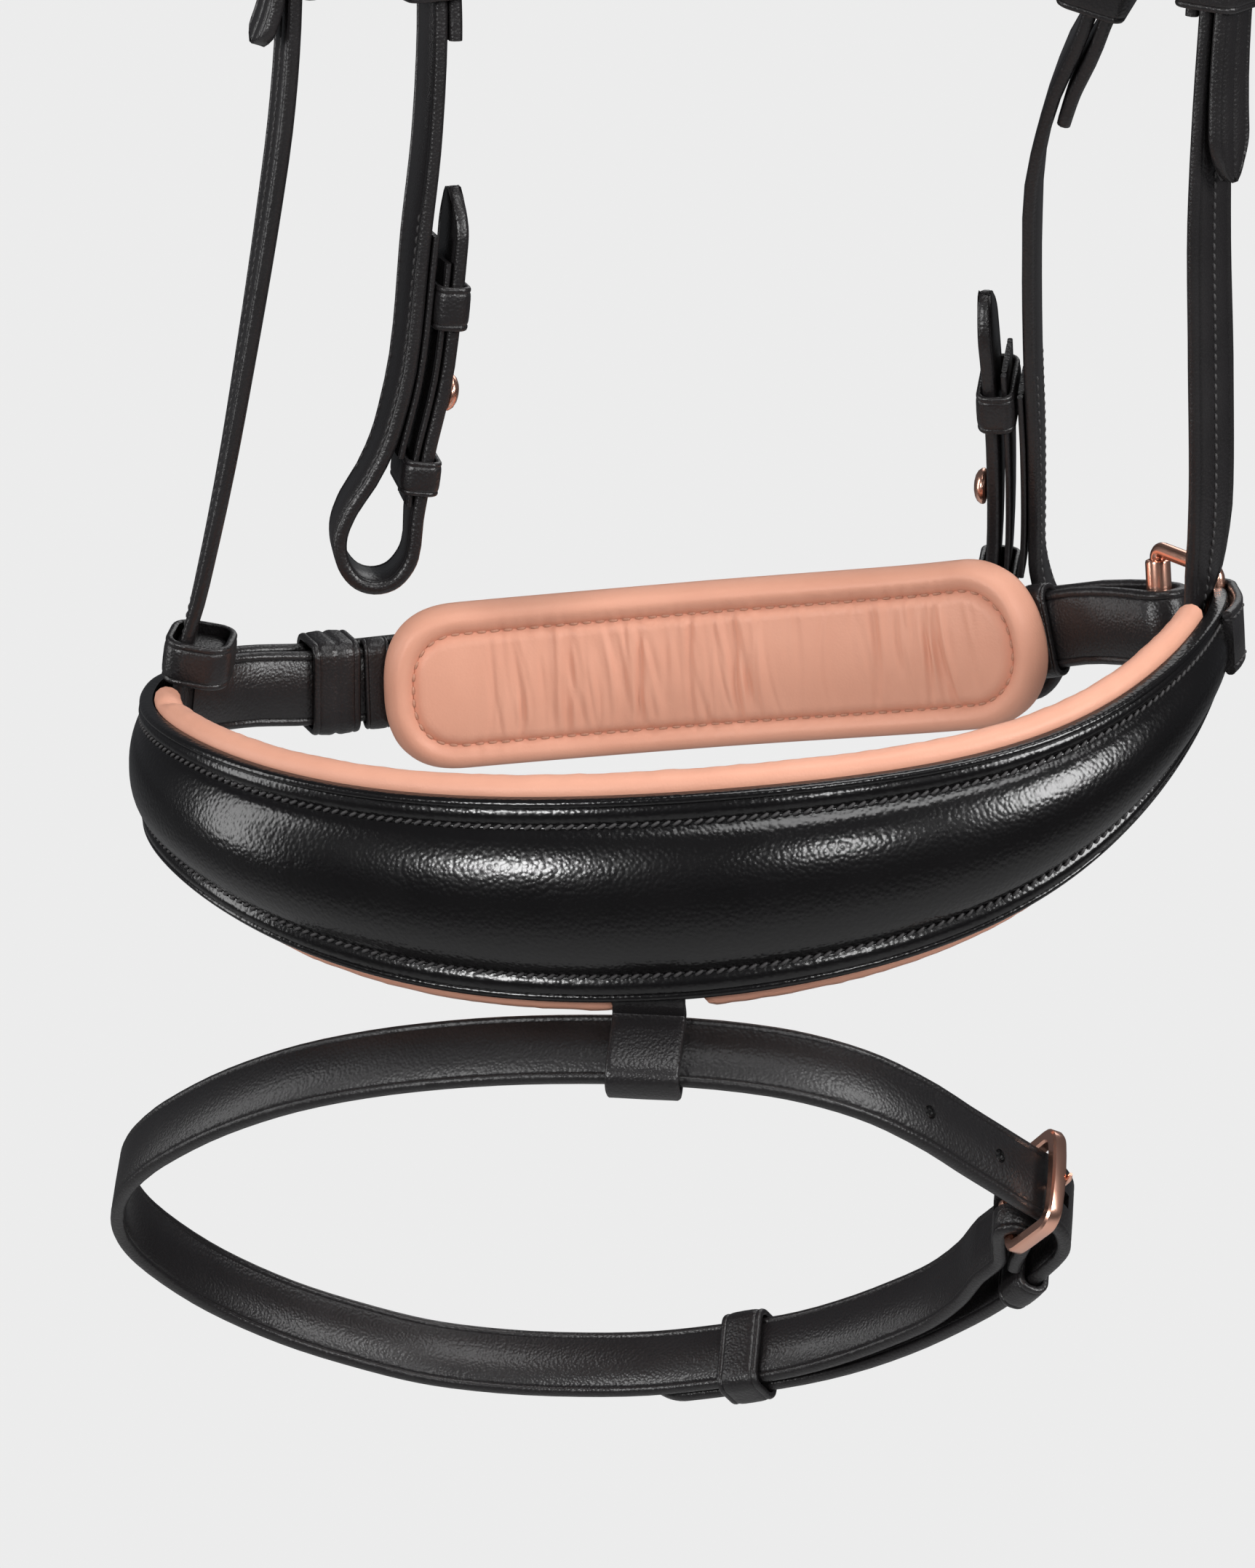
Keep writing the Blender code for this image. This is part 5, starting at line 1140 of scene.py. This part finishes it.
def pad_wrinkle(s, v, inset):
    """Height of the pad's upright wrinkles, each a long slanting furrow with a fold beside it, which
    fade out over the border."""
    soft = 0.25 * noise.noise(Vector((s * 0.5, v * 0.05, 4.4))) * math.exp(-((inset - PAD_SEAM) / 3.0) ** 2)
    strength = 0.3 * math.exp(-((PAD_SEAM - inset) / 2.4) ** 2)
    if inset > PAD_SEAM:
        strength = min(0.3 + (inset - PAD_SEAM) / 2.2, 1.0)
    height = 0.0
    for middle, slant, curve, centre, length, width, depth in WRINKLES:
        off = (s - middle - slant * v - curve * v * v) / width
        if abs(off) < 4.5:
            reach = max(1.0 - ((v - centre) / length) ** 2, 0.0)
            shape = math.exp(-off * off) - 0.7 * math.exp(-((off - 1.8) / 1.3) ** 2)
            height -= depth * reach * width * shape
    return soft + height * strength


def pad_spot(s, v, depth, lift=0.0):
    """The point of the pad at run s, height v, depth and lift, and the way its face looks."""
    place, along, out, across = chin.at(pad_middle + s)
    return place + across * v + out * (PAD_BACK - PAD_THICKNESS * depth - lift), -out


rings = []
for inset, depth in PAD_LEVELS:
    rings.append([pad_spot(s, v, depth, pad_wrinkle(s, v, inset) if depth > 0.5 else 0.0)[0]
                  for s, v in pad_outline(inset)])
chin_pad = skin("chin_rose_pad", rings, ROSE_LEATHER, sharp=80.0)
# The pad's two flat ends are closed by strips from its upper to its lower edge, so that they shade
# evenly. The first strip starts at the point 20 of the outline, the middle of its right end.
build = bmesh.new()
build.from_mesh(chin_pad.data)
bmesh.ops.delete(build, geom=[face for face in build.faces if len(face.verts) > 4], context="FACES_ONLY")
build.verts.ensure_lookup_table()
count = len(rings[0])
for first in (0, len(build.verts) - count):
    ring = [build.verts[first + (20 + k) % count] for k in range(count)]
    for k in range(count // 2):
        build.faces.new(list(dict.fromkeys((ring[k], ring[k + 1], ring[-k - 1], ring[-k])))).smooth = True
bmesh.ops.recalc_face_normals(build, faces=build.faces)
build.to_mesh(chin_pad.data)
build.free()
dress(chin_pad, "noseband", "rose_leather", "chin_pad")
seam = [pad_spot(s, v, 0.745, pad_wrinkle(s, v, PAD_SEAM)) for s, v in pad_outline(PAD_SEAM)]
seam.append(seam[0])
sew("chin_pad_stitches", [place for place, normal in seam], [normal for place, normal in seam], "noseband",
    pitch=3.1, reach=2.3, radius=0.4, material=ROSE_THREAD, slot="rose_leather")
for side, offset in (("left", -PAD_LENGTH / 2 - 0.5), ("right", PAD_LENGTH / 2 - 4.0)):
    band("chin_pad_strap_loop_" + side, "chin_pad_loop_" + side, "noseband",
         *route_axes(chin, pad_middle + offset, 0.0), CHIN_WIDTH / 2 + 0.7, STRAP_THICKNESS / 2 + 0.75,
         6.0, 1.3)

# Flash strap. A black strap that hangs from a folded tab under the noseband's front, goes round the
# mouth in one sloping plane and buckles on the right. Its end comes back round through a fixed
# keeper by the buckle and a loose one behind the chin.
FLASH_PITCH = math.radians(50.0)
FLASH_ROLL = 0.02
FLASH_THICKNESS = 3.2
FLASH_WIDTH = 16.6
FLASH_HEEL = (77.0, 64.5)
FLASH_TIP = (86.5, 49.2)
FLASH_FOLD = (0.15, -0.99)
FLAT_SECTION = [(1.7, -1.2), (1.7, 1.0), (1.2, 1.7), (-0.7, 1.7), (-1.3, 1.1), (-1.4, -1.2), (-0.9, -1.7),
                (1.2, -1.7)]
flash_plane = Plane((TAB_X, -85.2, -488.2), (math.cos(FLASH_ROLL), 0.0, math.sin(FLASH_ROLL)),
                    (0.0, math.cos(FLASH_PITCH), -math.sin(FLASH_PITCH)))
heel = np.array(FLASH_HEEL)
fold_back = unit(FLASH_FOLD)
fold_out = np.array([-fold_back[1], fold_back[0]])


def flash_local(y, z):
    """A point of the folded end in the flash strap's plane."""
    return tuple(heel + fold_back * y + fold_out * z)


def flash_towards(place, spot):
    """Direction from a place to a spot of the flash strap's plane."""
    return unit(flash_plane.spot(*spot)[0] - place)


def punch(a, b, radius=1.6):
    """A round hole at a, b of the flash strap's plane, to be cut out of the strap."""
    here, across = flash_plane.spot(a, b)
    along = flash_towards(here, (a + 1.0, b + 1.15))
    out = unit(np.cross(across, along))
    ends = [round_ring(here + out * z, along, across, radius, 20) for z in (-5.0, 5.0)]
    return solid_mesh("cutter", ends[0] + ends[1], ring_faces(2, 20))


folded = [(-15.5, 1.95), (-12.0, 1.95), (-6.5, 2.6)]
folded += arc(BAR + GAP + FLASH_THICKNESS / 2, *HEEL_ARC) + [(-6.5, -2.6), (-13.0, -1.85)]
line = [flash_local(y, z) for y, z in folded]
line += [(68.6, 85.0), (63.6, 96.8), (56.3, 108.0), (46.7, 117.5), (35.0, 127.2), (22.3, 135.3),
         (4.0, 142.6), (-13.0, 147.5), (-31.0, 149.4), (-48.0, 149.0), (-65.5, 145.6), (-81.6, 137.9),
         (-97.2, 127.6), (-112.0, 112.8), (-121.6, 98.0), (-126.4, 86.6), (-127.8, 77.0), (-126.4, 66.5),
         (-122.8, 57.0), (-117.0, 48.0), (-110.2, 40.3), (-97.0, 28.4), (-79.4, 16.9), (-62.3, 9.5),
         (-46.0, 4.8), (-30.0, 1.8), (-14.0, 0.3), (0.0, 0.0), (17.2, 1.4), (32.3, 5.1), (46.9, 12.9),
         (59.0, 24.5), (67.5, 35.5), (74.0, 43.6), (80.0, 51.2), (84.8, 57.0), (87.6, 63.6), (87.6, 71.0),
         (84.6, 78.4), (78.4, 88.8), (71.2, 99.4), (61.5, 110.6), (51.2, 120.9), (38.5, 131.0),
         (24.3, 139.2), (5.4, 146.6), (-6.0, 150.4), (-14.0, 153.4)]
origin = flash_plane.spot(*FLASH_HEEL)[0]
fold_axes = (flash_plane.across, flash_towards(origin, flash_local(1.0, 0.0)),
             flash_towards(origin, flash_local(0.0, 1.0)))
to_tip = flash_towards(origin, FLASH_TIP)
axes = (flash_plane.across, to_tip, np.cross(flash_plane.across, to_tip))
strap("flash_long_strap", "flash_strap", "flash", flash_plane, line, FLASH_WIDTH, FLASH_THICKNESS,
      cutters=[box_cutter(origin, fold_axes, *SLOT),
               box_cutter(origin, axes, (-SLOT_HALF, 4.5, -2.5), (SLOT_HALF, 12.5, 8.5)),
               punch(58.6, 24.1), punch(73.2, 42.4)], end_tip=12.0, back=FLESH_SIDE)
buckle("flash_buckle", origin, axes, FLASH_WIDTH, "flash", 18.0, FLAT_SECTION, 3.0, 1.2)
for name, node, body, spot, towards, half in (
        ("flash_sewn_keeper", "flash_fixed_keeper", "flash", (78.3, 89.0), (82.3, 82.3), 2.4),
        ("flash_sliding_keeper", "flash_loose_keeper", "flash_keeper", (11.8, 141.9), (27.0, 135.6), 4.3)):
    place = flash_plane.spot(*spot)[0]
    along = flash_towards(place, towards)
    out = np.cross(along, flash_plane.across)
    out = out if out @ (place - flash_plane.spot(-20.0, 75.0)[0]) > 0 else -out
    band(name, node, body, place, (flash_plane.across, along, out), FLASH_WIDTH / 2 + 0.6, half, 10.5,
         KEEPER_THICKNESS)

# Flash tab. A folded piece of black leather sewn under the noseband's front, through which the
# flash strap runs.
front = FLASH_THICKNESS / 2 + 0.8 + 1.0
reach_down = FLASH_WIDTH / 2 + 0.7 + 1.0
slope = np.array([math.sin(FLASH_PITCH), math.cos(FLASH_PITCH)])
face = np.array([-math.cos(FLASH_PITCH), math.sin(FLASH_PITCH)])
line = [(1.2, 12.9), (1.2, 10.4)]
for a, b in ((reach_down - 3.0, front + 0.1), (2.0, front), (1.2 - reach_down, front), (-reach_down, 0.6),
             (-reach_down, -0.8), (1.2 - reach_down, -front), (0.0, -front), (reach_down - 2.5, -front)):
    line.append(tuple(slope * a + face * b))
strap("flash_folded_tab", "flash_tab", "flash", Plane(flash_plane.origin, Y_AXIS, Z_AXIS), line, TAB_WIDTH,
      2.0, creased=False)

bpy.ops.object.select_all(action="DESELECT")
